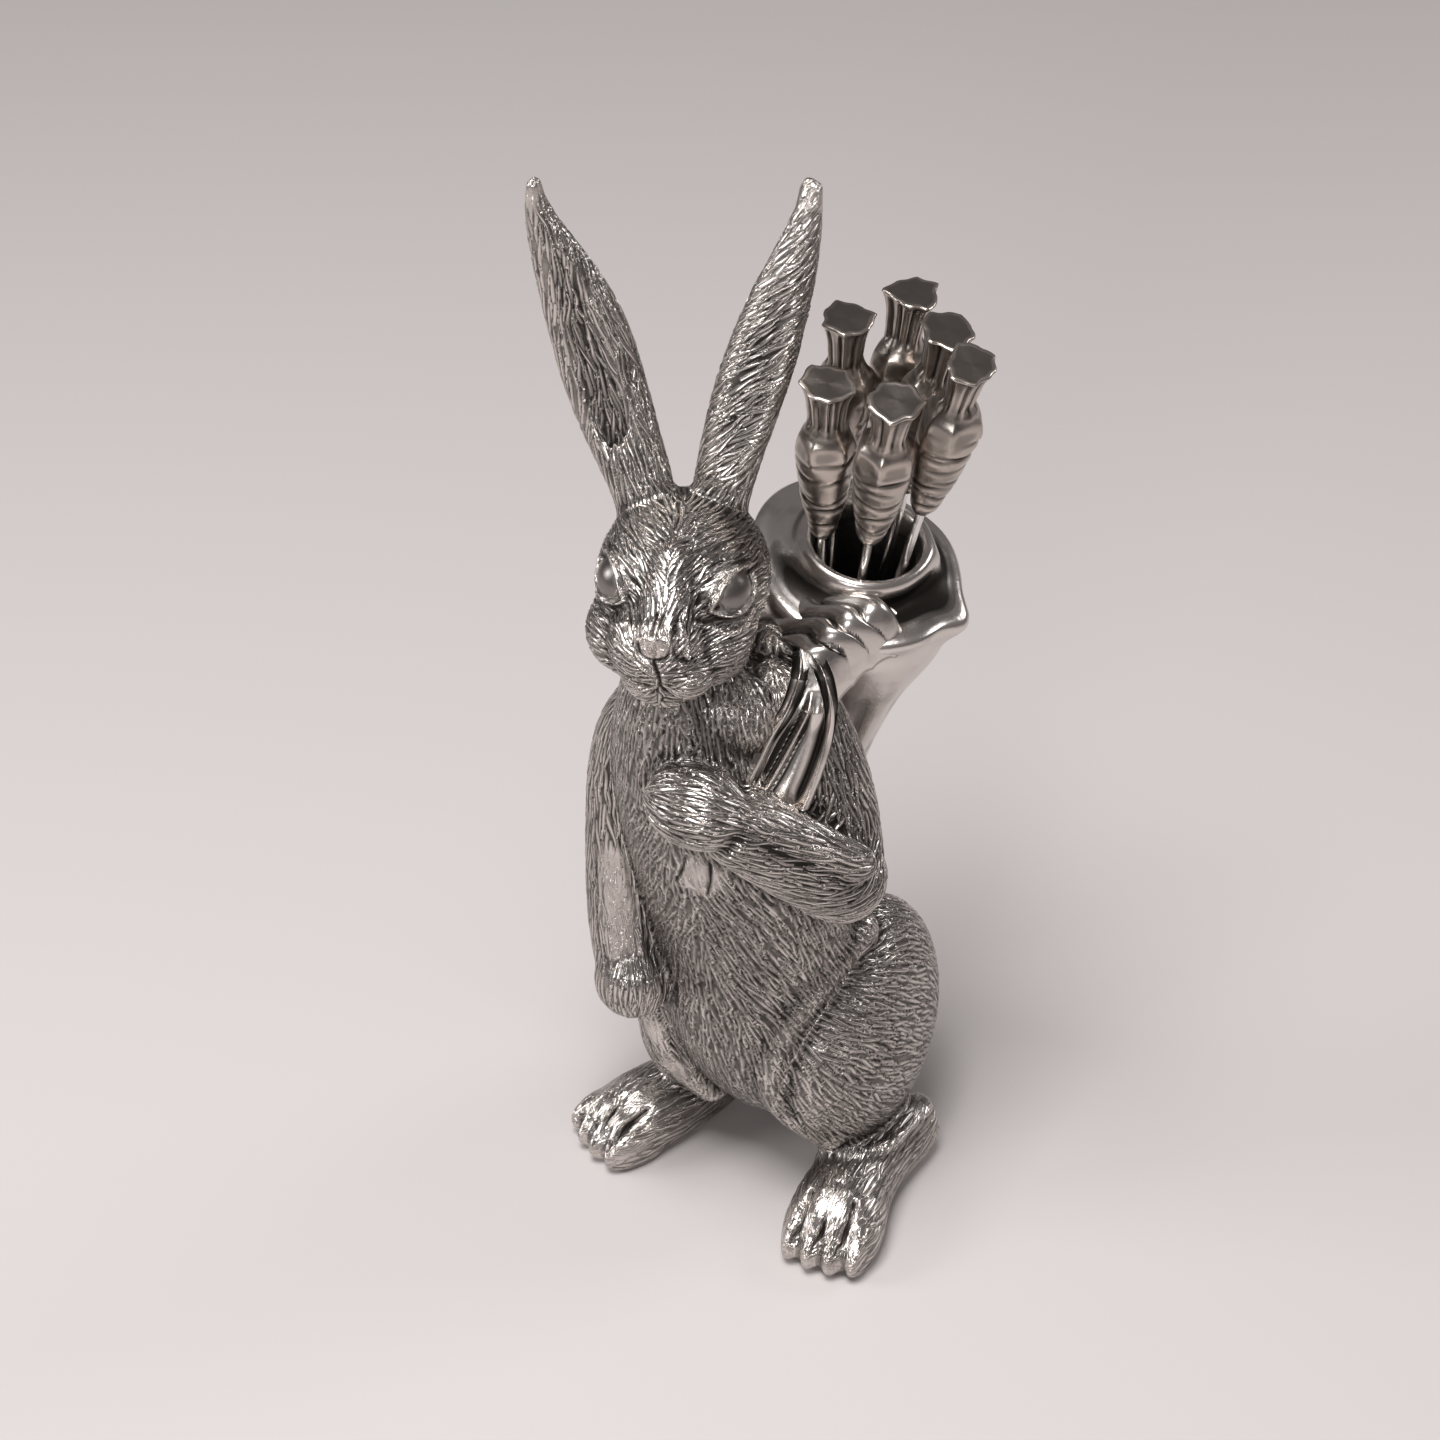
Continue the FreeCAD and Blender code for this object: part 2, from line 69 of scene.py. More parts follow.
CAMERA_AIM = Vector((-6.8, -2, 93)) * MM
CAMERA_DISTANCE = 560 * MM
CAMERA_AROUND = math.radians(30)
CAMERA_ABOVE = math.radians(38)
CAMERA_LENS = 85


def facing(place, aim):
    """The turn that makes a lamp or a camera at a place look at a point."""
    return (aim - place).to_track_quat("-Z", "Y").to_euler()


to_camera = Vector((
    math.sin(CAMERA_AROUND) * math.cos(CAMERA_ABOVE),
    -math.cos(CAMERA_AROUND) * math.cos(CAMERA_ABOVE),
    math.sin(CAMERA_ABOVE),
))
camera_place = CAMERA_AIM + to_camera * CAMERA_DISTANCE
bpy.ops.object.camera_add(location=camera_place, rotation=facing(camera_place, CAMERA_AIM))
camera = bpy.context.object
camera.data.lens = CAMERA_LENS
bpy.context.scene.camera = camera
bpy.context.scene.view_settings.view_transform = "Standard"


def soft_lamp(name, place, side, watts):
    """A square soft box that points at the middle of the hare."""
    place = Vector(place)
    bpy.ops.object.light_add(type="AREA", location=place, rotation=facing(place, CAMERA_AIM))
    lamp = bpy.context.object
    lamp.name = name
    lamp.data.size = side
    lamp.data.energy = watts


soft_lamp("overhead_lamp", (0, -0.26, 0.88), 0.38, 8.6)
soft_lamp("side_lamp", (-0.72, -0.5, 0.5), 0.36, 3)
soft_lamp("front_lamp", (0.2, -0.84, 0.42), 0.2, 1.6)
soft_lamp("back_lamp", (0.5, 0.6, 0.55), 0.3, 1.5)


def set_inputs(node, values):
    """Set a node's sockets by name; a socket given is linked, a value is written."""
    for name, value in values.items():
        if isinstance(value, bpy.types.NodeSocket):
            node.id_data.links.new(value, node.inputs[name])
        else:
            node.inputs[name].default_value = value


def new_material(name):
    """A material with only its surface shader, and the shader node."""
    material = bpy.data.materials.new(name)
    material.use_nodes = True
    return material, material.node_tree.nodes["Principled BSDF"]


bpy.ops.mesh.primitive_plane_add(size=12)
table = bpy.context.object
table.name = "table_top"
table_paint, shader = new_material("table_paint")
set_inputs(shader, {"Base Color": (0.54, 0.5, 0.49, 1), "Roughness": 0.6})
table.data.materials.append(table_paint)

world = bpy.data.worlds.new("studio")
bpy.context.scene.world = world
world.use_nodes = True
set_inputs(world.node_tree.nodes["Background"], {"Color": (0.17, 0.16, 0.16, 1), "Strength": 1})


# ==== The hare's skin ============================================================================
# The hare is cast in eleven pieces of pewter. They are soldered together and their joints are
# dressed down before the fur is chased, so that its skin runs on from one casting to the next.

CASTINGS = (
    "torso", "head", "right_ear", "left_ear", "right_arm", "left_arm", "left_haunch",
    "right_haunch", "left_foot", "right_foot", "tail",
)
SKIN_GRAIN = 0.68 * MM
TRIANGLE_LIMIT = 188000
TUCK_DEPTH = 0.9
TUCK_REACH = 0.4
HEAD_FRAME = Matrix.Translation(Vector((-7.3, -12.5, 128.5)) * MM) @ Matrix.Rotation(
    math.radians(20), 4, "Z"
)
HARE_FRAME = Matrix.Identity(4)
# Rounded masses added to the castings: frame, then half sizes and centre in millimetres. They are
# the lips' pads, the chin, the nose, the eye mounds, the cheeks, the ruff on the chest and beside
# the neck, and the rounded tips of the ears.
MASSES = (
    (HEAD_FRAME, (4.2, 4.9, 4), (3.7, -16.4, -6)),
    (HEAD_FRAME, (3.2, 4.5, 3.3), (-2.9, -17, -6.6)),
    (HEAD_FRAME, (3.9, 4.8, 3.4), (0, -14.2, -10.6)),
    (HEAD_FRAME, (2.6, 3.2, 2.9), (-0.9, -18.5, 2.2)),
    (HEAD_FRAME, (4.2, 4.6, 4.2), (7.6, -7.6, 3.8)),
    (HEAD_FRAME, (4.2, 4.6, 4.2), (-7.6, -7.6, 3.8)),
    (HEAD_FRAME, (6, 8, 6), (7, -7, -3)),
    (HEAD_FRAME, (6, 8, 6), (-7, -7, -3)),
    (HARE_FRAME, (12, 8, 9), (-1, -13.6, 106)),
    (HARE_FRAME, (6, 6, 7), (7, -9, 107.6)),
    (HARE_FRAME, (6, 6, 6), (3, -2.6, 110)),
    (HARE_FRAME, (1.1, 1, 3.6), (-34.1, -9.9, 187.2)),
    (HARE_FRAME, (2, 1.5, 3.6), (1.5, 10.5, 186.8)),
)
# Rounded ridges on the castings: frame, half their width, and their line. They are the bridge of
# the nose, the brows, the fronts of the thighs, a fold over the left foot and the left forearm.
RIDGES = (
    (HEAD_FRAME, 4, ((0, -8, 8), (0, -13, 4.4), (-0.1, -17.6, 0.6))),
    (HEAD_FRAME, 1.5, ((8.2, -4.6, 8.6), (7.8, -7.8, 7.2), (6.2, -11.2, 5.2))),
    (HEAD_FRAME, 1.5, ((-8.2, -4.6, 8.6), (-7.8, -7.8, 7.2), (-6.2, -11.2, 5.2))),
    (HARE_FRAME, 3.6, (
        (18.8, 0.6, 56.5), (15.6, -11.4, 50.6), (11.8, -15.4, 38.6), (12.8, -13.4, 25.4),
        (19.5, -10, 18.6),
    )),
    (HARE_FRAME, 3, ((-15, -11, 43), (-12.4, -13.4, 34), (-9, -13, 25), (-4.4, -9.6, 17))),
    (HARE_FRAME, 1.1, (
        (17.6, -9.4, 10.6), (20.4, -9.6, 12.6), (24, -8.6, 13.4), (27.6, -4.2, 12.9),
        (28.6, 3.6, 12), (28.6, 10.4, 11.4),
    )),
    (HARE_FRAME, 3.4, ((24.6, -13, 83.6), (19.5, -19.2, 90.2), (13, -24.4, 95.4), (6, -28, 98))),
)


def select_only(*things):
    """Leave just these objects selected, the last of them active."""
    bpy.ops.object.select_all(action="DESELECT")
    for thing in things:
        thing.select_set(True)
        bpy.context.view_layer.objects.active = thing


def in_edit_mode(thing, *operators):
    """Run edit operators on one object, with all of it selected at first."""
    select_only(thing)
    bpy.ops.object.mode_set(mode="EDIT")
    bpy.ops.mesh.select_all(action="SELECT")
    for operator in operators:
        operator()
    bpy.ops.object.mode_set(mode="OBJECT")


def apply_modifier(thing, kind, **settings):
    """Add a modifier, set it and apply it."""
    select_only(thing)
    modifier = thing.modifiers.new(kind.lower(), kind)
    for name, value in settings.items():
        setattr(modifier, name, value)
    bpy.ops.object.modifier_apply(modifier=modifier.name)


def vectors(items, name):
    """A numpy table of one vector property of vertices, edges or faces."""
    table = np.empty(len(items) * 3, np.float32)
    items.foreach_get(name, table)
    return table.reshape(-1, 3).astype(float)


def move_points(mesh, points):
    """Give a mesh's vertices new places."""
    mesh.vertices.foreach_set("co", points.astype(np.float32).ravel())
    mesh.update()


def store(mesh, name, values):
    """Keep one number for each vertex in an attribute."""
    layer = mesh.attributes.get(name) or mesh.attributes.new(name, "FLOAT", "POINT")
    layer.data.foreach_set("value", np.asarray(values, np.float32))


def stored(mesh, name):
    """Read an attribute's numbers."""
    values = np.empty(len(mesh.vertices), np.float32)
    mesh.attributes[name].data.foreach_get("value", values)
    return values.astype(float)


def spread(mesh, values, rounds):
    """Average values over neighbouring vertices, again and again."""
    ends = np.empty(len(mesh.edges) * 2, np.int32)
    mesh.edges.foreach_get("vertices", ends)
    near, far = ends.reshape(-1, 2).T
    here, there = np.concatenate([near, far]), np.concatenate([far, near])
    count = np.maximum(np.bincount(here, minlength=len(values)), 1)
    columns = np.atleast_2d(values.T)
    for _ in range(rounds):
        sums = [np.bincount(here, column[there], len(values)) for column in columns]
        columns = 0.5 * columns + 0.5 * np.array(sums) / count
    return columns[0] if values.ndim == 1 else columns.T


def surface_samples(node, spacing):
    """Random points all over a CAD solid's surface."""
    mesh = frame["nodes"][node].data
    corners = np.empty(len(mesh.loop_triangles) * 3, np.int32)
    mesh.loop_triangles.foreach_get("vertices", corners)
    a, b, c = vectors(mesh.vertices, "co")[corners.reshape(-1, 3)].transpose(1, 0, 2)
    area = np.linalg.norm(np.cross(b - a, c - a), axis=1) / 2
    rng = np.random.default_rng(len(area))
    count = int(area.sum() / spacing ** 2)
    pick = rng.choice(len(area), count, p=area / area.sum())
    s, t = rng.random((2, count))
    s, t = np.where(s + t > 1, 1 - s, s), np.where(s + t > 1, 1 - t, t)
    return a[pick] + s[:, None] * (b - a)[pick] + t[:, None] * (c - a)[pick]


copies = []
for node in CASTINGS:
    copies.append(bpy.data.objects.new("skin", frame["nodes"][node].data.copy()))
    bpy.context.collection.objects.link(copies[-1])


def smooth_line(corners, count):
    """A smooth line through corner points, as evenly spaced points."""
    corners = np.array(corners, float)
    steps = np.linalg.norm(np.diff(corners, axis=0), axis=1)
    reached = np.concatenate([[0], steps.cumsum()])
    slopes = np.gradient(corners, reached, axis=0)
    wanted = np.linspace(0, reached[-1], count)
    leg = np.clip(np.searchsorted(reached, wanted, side="right") - 1, 0, len(steps) - 1)
    step = steps[leg][:, None]
    t = (wanted - reached[leg])[:, None] / step
    return (
        (2 * t ** 3 - 3 * t ** 2 + 1) * corners[leg] + (t ** 3 - 2 * t ** 2 + t) * step * slopes[leg]
        + (3 * t ** 2 - 2 * t ** 3) * corners[leg + 1] + (t ** 3 - t ** 2) * step * slopes[leg + 1]
    )


def add_mass(mass_frame, half_sizes, centre):
    """An ellipsoid to be joined to the castings."""
    bpy.ops.object.select_all(action="DESELECT")
    bpy.ops.mesh.primitive_uv_sphere_add(segments=24, ring_count=16, radius=MM)
    mass = bpy.context.object
    mass.data.transform(Matrix.Diagonal((*half_sizes, 1)))
    mass.data.transform(mass_frame @ Matrix.Translation(Vector(centre) * MM))
    copies.append(mass)


for mass in MASSES:
    add_mass(*mass)
for ridge_frame, half_width, ridge_line in RIDGES:
    length = sum((Vector(b) - Vector(a)).length for a, b in zip(ridge_line, ridge_line[1:]))
    for bead in smooth_line(ridge_line, int(length / half_width * 2) + 2):
        add_mass(ridge_frame, (half_width,) * 3, bead)
select_only(*copies[::-1])
bpy.ops.object.join()
skin = bpy.context.object
skin.data.materials.clear()
in_edit_mode(skin, lambda: bpy.ops.mesh.remove_doubles(threshold=1e-6))
apply_modifier(skin, "REMESH", mode="VOXEL", voxel_size=SKIN_GRAIN)


def keep_outer_shell(thing):
    """Delete the walls of the hollow inside, which the highest vertex isn't part of."""
    heights = vectors(thing.data.vertices, "co")[:, 2]
    bpy.ops.object.mode_set(mode="EDIT")
    bpy.ops.mesh.select_all(action="DESELECT")
    bpy.ops.object.mode_set(mode="OBJECT")
    thing.data.vertices[int(heights.argmax())].select = True
    bpy.ops.object.mode_set(mode="EDIT")
    bpy.ops.mesh.select_linked()
    bpy.ops.mesh.select_all(action="INVERT")
    bpy.ops.mesh.delete(type="VERT")
    bpy.ops.object.mode_set(mode="OBJECT")


select_only(skin)
keep_outer_shell(skin)

# Each vertex belongs to the casting whose solid is nearest.
samples = [surface_samples(node, 0.6 * MM) for node in CASTINGS]
owner_of = np.repeat(np.arange(len(CASTINGS)), [len(places) for places in samples])
owners = KDTree(len(owner_of))
for number, place in enumerate(np.concatenate(samples)):
    owners.insert(place, number)
owners.balance()
skin_points = vectors(skin.data.vertices, "co")
nearest = [owner_of[owners.find(place)[1]] for place in skin_points]
territory = spread(skin.data, np.eye(len(CASTINGS))[nearest], 24)

# Solder and file work rounds the creases where one casting meets the next.
ranked = np.sort(territory, axis=1)
crease = np.clip(1.15 - (ranked[:, -1] - ranked[:, -2]), 0.06, 1)
group = skin.vertex_groups.new(name="joints")
for level in range(1, 11):
    members = np.nonzero(np.round(crease * 10) == level)[0].tolist()
    group.add(members, level / 10, "REPLACE")
apply_modifier(skin, "SMOOTH", factor=0.5, iterations=26, vertex_group="joints")
skin_points = vectors(skin.data.vertices, "co")
skin_points[:, 2] = np.maximum(skin_points[:, 2], 0)
move_points(skin.data, skin_points)
# How far each vertex lies below its neighbourhood of a few millimetres, kept to darken the creases: painted
# shade.
store(skin.data, "crease_shade", np.einsum(
    "ij,ij->i",
    spread(skin.data, skin_points, 16) - skin_points,
    vectors(skin.data.vertices, "normal"),
) / MM)


def casting_patch(node, levels):
    """A casting's own stretch of the skin, with a little more all round to tuck under its
    neighbours, in finer facets."""
    number = CASTINGS.index(node)
    others = np.delete(territory, number, axis=1).max(axis=1)
    margin = territory[:, number] - others
    patch = bpy.data.objects.new("chased_" + node, skin.data.copy())
    bpy.context.collection.objects.link(patch)
    store(patch.data, "margin", margin)
    select_only(patch)
    bpy.ops.object.mode_set(mode="EDIT")
    bpy.ops.mesh.select_mode(type="VERT")
    bpy.ops.mesh.select_all(action="DESELECT")
    bpy.ops.object.mode_set(mode="OBJECT")
    patch.data.vertices.foreach_set("select", margin < -TUCK_REACH)
    bpy.ops.object.mode_set(mode="EDIT")
    bpy.ops.mesh.delete(type="VERT")
    bpy.ops.object.mode_set(mode="OBJECT")
    apply_modifier(patch, "SUBSURF", levels=levels, render_levels=levels)
    return patch


def close_rims(piece):
    """Draw each open rim together at its middle, inside the neighbouring casting."""
    select_only(piece)
    bpy.ops.object.mode_set(mode="EDIT")
    bpy.ops.mesh.select_all(action="DESELECT")
    bpy.ops.mesh.select_non_manifold(
        extend=False, use_wire=False, use_multi_face=False, use_non_contiguous=False,
        use_verts=False,
    )
    bpy.ops.mesh.extrude_edges_move()
    bpy.ops.mesh.merge(type="COLLAPSE")
    bpy.ops.object.mode_set(mode="OBJECT")


def comb(points, normals, guides):
    """The direction that the fur lies in at each point: a blend of the nearest guides, each a
    place and a direction, laid flat on the skin."""
    lay = np.zeros_like(points)
    for place, direction in guides:
        gap = np.linalg.norm(points / MM - place, axis=1)
        lay += np.array(direction, float) / np.linalg.norm(direction) / (gap ** 2 + 4)[:, None] ** 2
    lay -= normals * np.einsum("ij,ij->i", lay, normals)[:, None]
    return lay / np.maximum(np.linalg.norm(lay, axis=1), 1e-12)[:, None]


def chase_fur(points, normals, lay, lock, seed):
    """Locks of fur laid over one another, each a pointed leaf that rises to its tip. Returns their
    height at each point, from 0 to 1, and a running number across each lock for its hairs."""
    length, width = lock[0] * MM, lock[1] * MM / 2
    rng = np.random.default_rng(seed)
    shuffled = rng.permutation(len(points))
    keys = np.floor(points[shuffled] / (0.92 * math.sqrt(length * width)) + rng.random(3)).astype(int)
    roots = shuffled[np.unique(keys, axis=0, return_index=True)[1]]
    swing = rng.normal(0, 0.1, len(roots))
    across = np.cross(normals[roots], lay[roots])
    heading = lay[roots] * np.cos(swing)[:, None] + across * np.sin(swing)[:, None]
    across = np.cross(normals[roots], heading)
    rank = rng.random(len(roots))
    bend = rng.normal(0, 0.28, len(roots))
    stretch = rng.uniform(0.75, 1.2, len(roots)) * length
    tree = KDTree(len(roots))
    for number, place in enumerate(points[roots]):
        tree.insert(place, number)
    tree.balance()
    height = np.zeros(len(points))
    strand = np.zeros(len(points))
    block_side = 2.6 * MM
    blocks = np.floor(points / block_side).astype(int)
    order = np.lexsort(blocks.T)
    ends = np.nonzero(np.any(np.diff(blocks[order], axis=0), axis=1))[0] + 1
    for members in np.split(order, ends):
        middle = (blocks[members[0]] + 0.5) * block_side
        near = [n for _, n, _ in tree.find_range(middle, block_side * 0.87 + 0.6 * length)]
        if not near:
            continue
        arm = points[members][:, None] - points[roots[near]][None]
        along = np.einsum("ijk,jk->ij", arm, heading[near]) / stretch[near] + 0.5
        side = np.einsum("ijk,jk->ij", arm, across[near]) / width
        side += bend[near] * np.sin(np.clip(along, 0, 1) * 2 * math.pi)
        off = np.einsum("ijk,jk->ij", arm, normals[roots[near]])
        share = np.clip(along, 0, 1)
        taper = np.maximum((1 - share) ** 0.8 * (share + 0.1) ** 0.35 * 1.6, 1e-6)
        inside = (np.abs(side) < taper) & (np.abs(off) < 1.6 * MM) & (along > 0) & (along < 1)
        best = np.where(inside, rank[near] + 0.6 * share, -1).argmax(axis=1)
        rows = np.arange(len(members))
        ratio = np.clip((side / taper)[rows, best], -1, 1)
        crown = (0.45 + 0.55 * share[rows, best]) * (1 - np.abs(ratio) ** 1.9)
        height[members] = np.where(inside[rows, best], crown, 0.1)
        strand[members] = ratio + np.array(near)[best] * 0.37
    return height, strand


def line_gap(points, line, hub):
    """How far each point, in millimetres, is from a smooth line. With a hub, both are compared as
    seen from there, so that a line drawn over the surface marks the surface below it."""
    places = smooth_line(line, 30) * MM
    reach = np.ones(len(points))
    if hub is not None:
        reach = np.linalg.norm(points - hub, axis=1)
        points = (points - hub) / reach[:, None]
        places = (places - hub) / np.linalg.norm(places - hub, axis=1)[:, None]
    gap = np.full(len(points), np.inf)
    for start, end in zip(places[:-1], places[1:]):
        leg = end - start
        share = np.clip((points - start) @ leg / (leg @ leg), 0, 1)
        gap = np.minimum(gap, np.linalg.norm(points - start - share[:, None] * leg, axis=1))
    return gap * reach / MM


def mean_edge(mesh):
    """The mean length of a mesh's edges."""
    ends = np.empty(len(mesh.edges) * 2, np.int32)
    mesh.edges.foreach_get("vertices", ends)
    points = vectors(mesh.vertices, "co")
    legs = points[ends[::2]] - points[ends[1::2]]
    return np.linalg.norm(legs, axis=1).mean()


def finish_casting(
    piece, node, guides, lock, seed, relief=0.34, bare=(), lines=(), guide_frame=HARE_FRAME, hub=None
):
    """Chase the fur on a casting, tuck its rims under its neighbours, thin out its facets where
    there are too many, close it and fix it.

    Bare spots are a centre and a reach; they are left smooth and coloured brightest, as a painted
    highlight. Lines are half a width, a height and their points."""
    mesh = piece.data
    points, normals = vectors(mesh.vertices, "co"), vectors(mesh.vertices, "normal")
    turn = guide_frame.to_3x3()
    world_guides = [
        (np.array(guide_frame @ (Vector(place) * MM)) / MM, np.array(turn @ Vector(direction)))
        for place, direction in guides
    ]
    lay = comb(points, normals, world_guides)
    height, strand = chase_fur(points, normals, lay, lock, seed)
    local = (points - np.array(guide_frame.translation)) @ np.array(turn)
    cover = np.ones(len(points))
    for centre, reach in bare:
        gap = np.linalg.norm(local / MM - centre, axis=1)
        cover = np.minimum(cover, np.clip((gap - reach) / 2, 0, 1))
    margin = stored(mesh, "margin")
    tuck = np.clip(-margin / TUCK_REACH, 0, 1)
    shift = (height - 0.45) * relief * cover * (1 - tuck) - TUCK_DEPTH * tuck ** 1.5
    carved = np.zeros(len(points))
    for half_width, tall, line in lines:
        mark = tall * np.exp(-(line_gap(local, line, hub) / half_width) ** 2)
        carved = np.where(np.abs(mark) > np.abs(carved), mark, carved)
    points = points + normals * ((shift + carved) * MM)[:, None]
    points[:, 2] = np.maximum(points[:, 2], 0)
    move_points(mesh, points)
    normals = vectors(mesh.vertices, "normal")
    rounds = max(4, int(round((0.45 * MM / mean_edge(mesh)) ** 2 * 4)))
    fine = np.einsum("ij,ij->i", spread(mesh, points, rounds) - points, normals) / MM
    # Darker between the locks and in fine hollows (patina) and in the creases (painted shade); the bare
    # spots are coloured brightest, a painted highlight.
    patina_and_highlight = (0.5 - height) * 0.45 * cover - 0.3 * (1 - cover)
    store(mesh, "patina_and_painted_light", np.clip(0.32 + patina_and_highlight + fine * 5 + stored(mesh, "crease_shade") * 0.9, 0, 1))
    store(mesh, "strand", strand)
    triangles = len(mesh.loops) - 2 * len(mesh.polygons)
    if triangles > TRIANGLE_LIMIT:
        apply_modifier(piece, "DECIMATE", ratio=TRIANGLE_LIMIT / triangles)
        mesh = piece.data
    close_rims(piece)
    mesh.shade_smooth()
    mesh.materials.clear()
    mesh.materials.append(fur_pewter)
    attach(piece, "hare")
    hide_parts(node)


def add_node(tree, kind, inputs=(), **settings):
    """A new node with its settings and sockets set."""
    node = tree.nodes.new(kind)
    for name, value in settings.items():
        setattr(node, name, value)
    set_inputs(node, dict(inputs))
    return node


def antique_pewter(name, bright, dark, bright_rough, dark_rough, hair_relief):
    """Pewter that was blackened in its hollows, partly patina and partly painted shade, and polished bright
    on its ridges. It is brightest where there is no darkening at all: polished pewter and a painted
    highlight."""
    highlight_gain = 1.7
    material, shader = new_material(name)
    tree = material.node_tree
    place = add_node(tree, "ShaderNodeTexCoord").outputs["Object"]
    patina_and_painted_light = add_node(tree, "ShaderNodeAttribute", attribute_name="patina_and_painted_light").outputs["Fac"]
    mottle = add_node(tree, "ShaderNodeTexNoise", {"Vector": place, "Scale": 160, "Detail": 4})
    stain = add_node(
        tree, "ShaderNodeMath", {0: mottle.outputs["Fac"], 1: 0.5}, operation="MULTIPLY_ADD"
    )
    set_inputs(stain, {2: -0.25})
    # Patina, painted shade and painted highlight from the attribute, with random stains added.
    patina_and_shade = add_node(tree, "ShaderNodeMath", {0: patina_and_painted_light, 1: stain.outputs[0]}, operation="ADD")
    ramp = add_node(tree, "ShaderNodeValToRGB", {"Fac": patina_and_shade.outputs[0]})
    ramp.color_ramp.elements[0].position = 0.13
    ramp.color_ramp.elements[0].color = (*bright, 1)
    ramp.color_ramp.elements[1].position = 0.85
    ramp.color_ramp.elements[1].color = (*dark, 1)
    # The brightest colour, which the bare spots reach, is polished pewter and a painted highlight.
    rubbed_highlight = ramp.color_ramp.elements.new(0)
    rubbed_highlight.color = (*(Vector(bright) * highlight_gain), 1)
    rough = add_node(tree, "ShaderNodeMapRange", {
        "Value": patina_and_shade.outputs[0], "From Min": 0.2, "From Max": 0.8,
        "To Min": bright_rough, "To Max": dark_rough,
    })
    strand = add_node(tree, "ShaderNodeAttribute", attribute_name="strand").outputs["Fac"]
    wave = add_node(tree, "ShaderNodeMath", {0: strand, 1: 9}, operation="MULTIPLY")
    hairs = add_node(tree, "ShaderNodeMath", {0: wave.outputs[0]}, operation="SINE")
    grain = add_node(tree, "ShaderNodeTexNoise", {"Vector": place, "Scale": 1400, "Detail": 3})
    relief = add_node(
        tree, "ShaderNodeMath", {0: hairs.outputs[0], 1: hair_relief, 2: grain.outputs["Fac"]},
        operation="MULTIPLY_ADD",
    )
    bump = add_node(
        tree, "ShaderNodeBump",
        {"Height": relief.outputs[0], "Strength": 0.5, "Distance": 0.06 * MM},
    )
    set_inputs(shader, {
        "Base Color": ramp.outputs["Color"], "Metallic": 1, "Roughness": rough.outputs["Result"],
        "Normal": bump.outputs["Normal"],
    })
    return material


fur_pewter = antique_pewter(
    "fur_pewter", (0.37, 0.342, 0.322), (0.04, 0.035, 0.032), 0.19, 0.45, 0.6
)


# ==== Torso ======================================================================================
# The torso is one hollow casting from the rump to the neck. Its fur parts down the middle of the
# chest and belly and lies down and outward from there, but for a bare spot with three scratches.

TORSO_GUIDES = (
    ((-8, -23, 112), (-0.2, 0, -1)),
    ((2, -24, 110), (0.35, -0.2, -1)),
    ((-4, -27, 92), (-0.1, 0, -1)),
    ((3, -26, 84), (0.45, 0, -1)),
    ((-8, -25, 84), (-0.6, 0, -1)),
    ((9, -23, 72), (0.9, 0, -1)),
    ((-10, -24, 66), (-0.75, 0, -1)),
    ((-1, -24, 66), (-0.5, 0, -1)),
    ((3, -23, 66), (0.5, 0, -1)),
    ((0, -20, 46), (-0.35, 0, -1)),
    ((3, -20, 46), (0.45, 0, -1)),
    ((12, -18, 52), (0.8, 0.2, -1)),
    ((-12, -16, 46), (-0.5, 0, -1)),
    ((20, -2, 62), (0.2, 0.5, -1)),
    ((0, 16, 80), (0.2, 0, -1)),
    ((0, 22, 45), (-0.2, 0, -1)),
    ((-18, 4, 70), (-0.1, 0.4, -1)),
)
TORSO_LINES = (
    (0.3, -0.5, ((0.4, -26, 84), (-0.4, -25.6, 80.5), (-1.8, -25.4, 77.4))),
    (0.3, -0.5, ((4.6, -25, 83.4), (4.4, -24.6, 80), (3.8, -24.4, 76.6))),
    (0.3, -0.4, ((7.6, -23.6, 83.6), (8, -23.4, 80.4))),
)
torso = casting_patch("torso", 1)
finish_casting(
    torso, "torso", TORSO_GUIDES, (7.2, 1.05), 11, relief=0.26, bare=(((3, -25.6, 80), 2.8),),
    lines=TORSO_LINES,
)


# ==== Head =======================================================================================
# The head is cast by itself and pegged into the neck. Its fur parts on the bridge of the nose and
# runs up and out from there. The nose and the lids are smooth, and the mouth is a carved line.

HEAD_GUIDES = (
    ((1.5, -18, 4.5), (0.55, 0.55, 0.65)),
    ((-1.5, -18, 4.5), (-0.55, 0.55, 0.65)),
    ((2, -13, 8), (0.85, 0.4, 0.55)),
    ((-2, -13, 8), (-0.85, 0.4, 0.55)),
    ((2.4, -8, 12), (0.85, 0.5, 0.4)),
    ((-2.4, -8, 12), (-0.85, 0.5, 0.4)),
    ((6, -6, 12.5), (0.8, 0.6, 0.35)),
    ((-6, -6, 12.5), (-0.8, 0.6, 0.35)),
    ((4, 3, 14), (0.5, 0.9, 0)),
    ((-4, 3, 14), (-0.5, 0.9, 0)),
    ((9, -12, 0), (0.5, 0.9, -0.1)),
    ((-9, -12, 0), (-0.5, 0.9, -0.1)),
    ((12, -7, -5), (0.1, 0.9, -0.4)),
    ((-12, -7, -5), (-0.1, 0.9, -0.4)),
    ((5, -19, -5), (0.9, 0.5, 0.1)),
    ((-5, -19, -5), (-0.9, 0.5, 0.1)),
    ((6, -15, -10), (0.8, 0.6, -0.3)),
    ((-6, -15, -10), (-0.8, 0.6, -0.3)),
    ((13, 2, 4), (0, 0.9, -0.5)),
    ((-13, 2, 4), (0, 0.9, -0.5)),
    ((0, 14, 2), (0, 0.2, -1)),
    ((0, -12, -14), (0, 0.8, -0.4)),
)
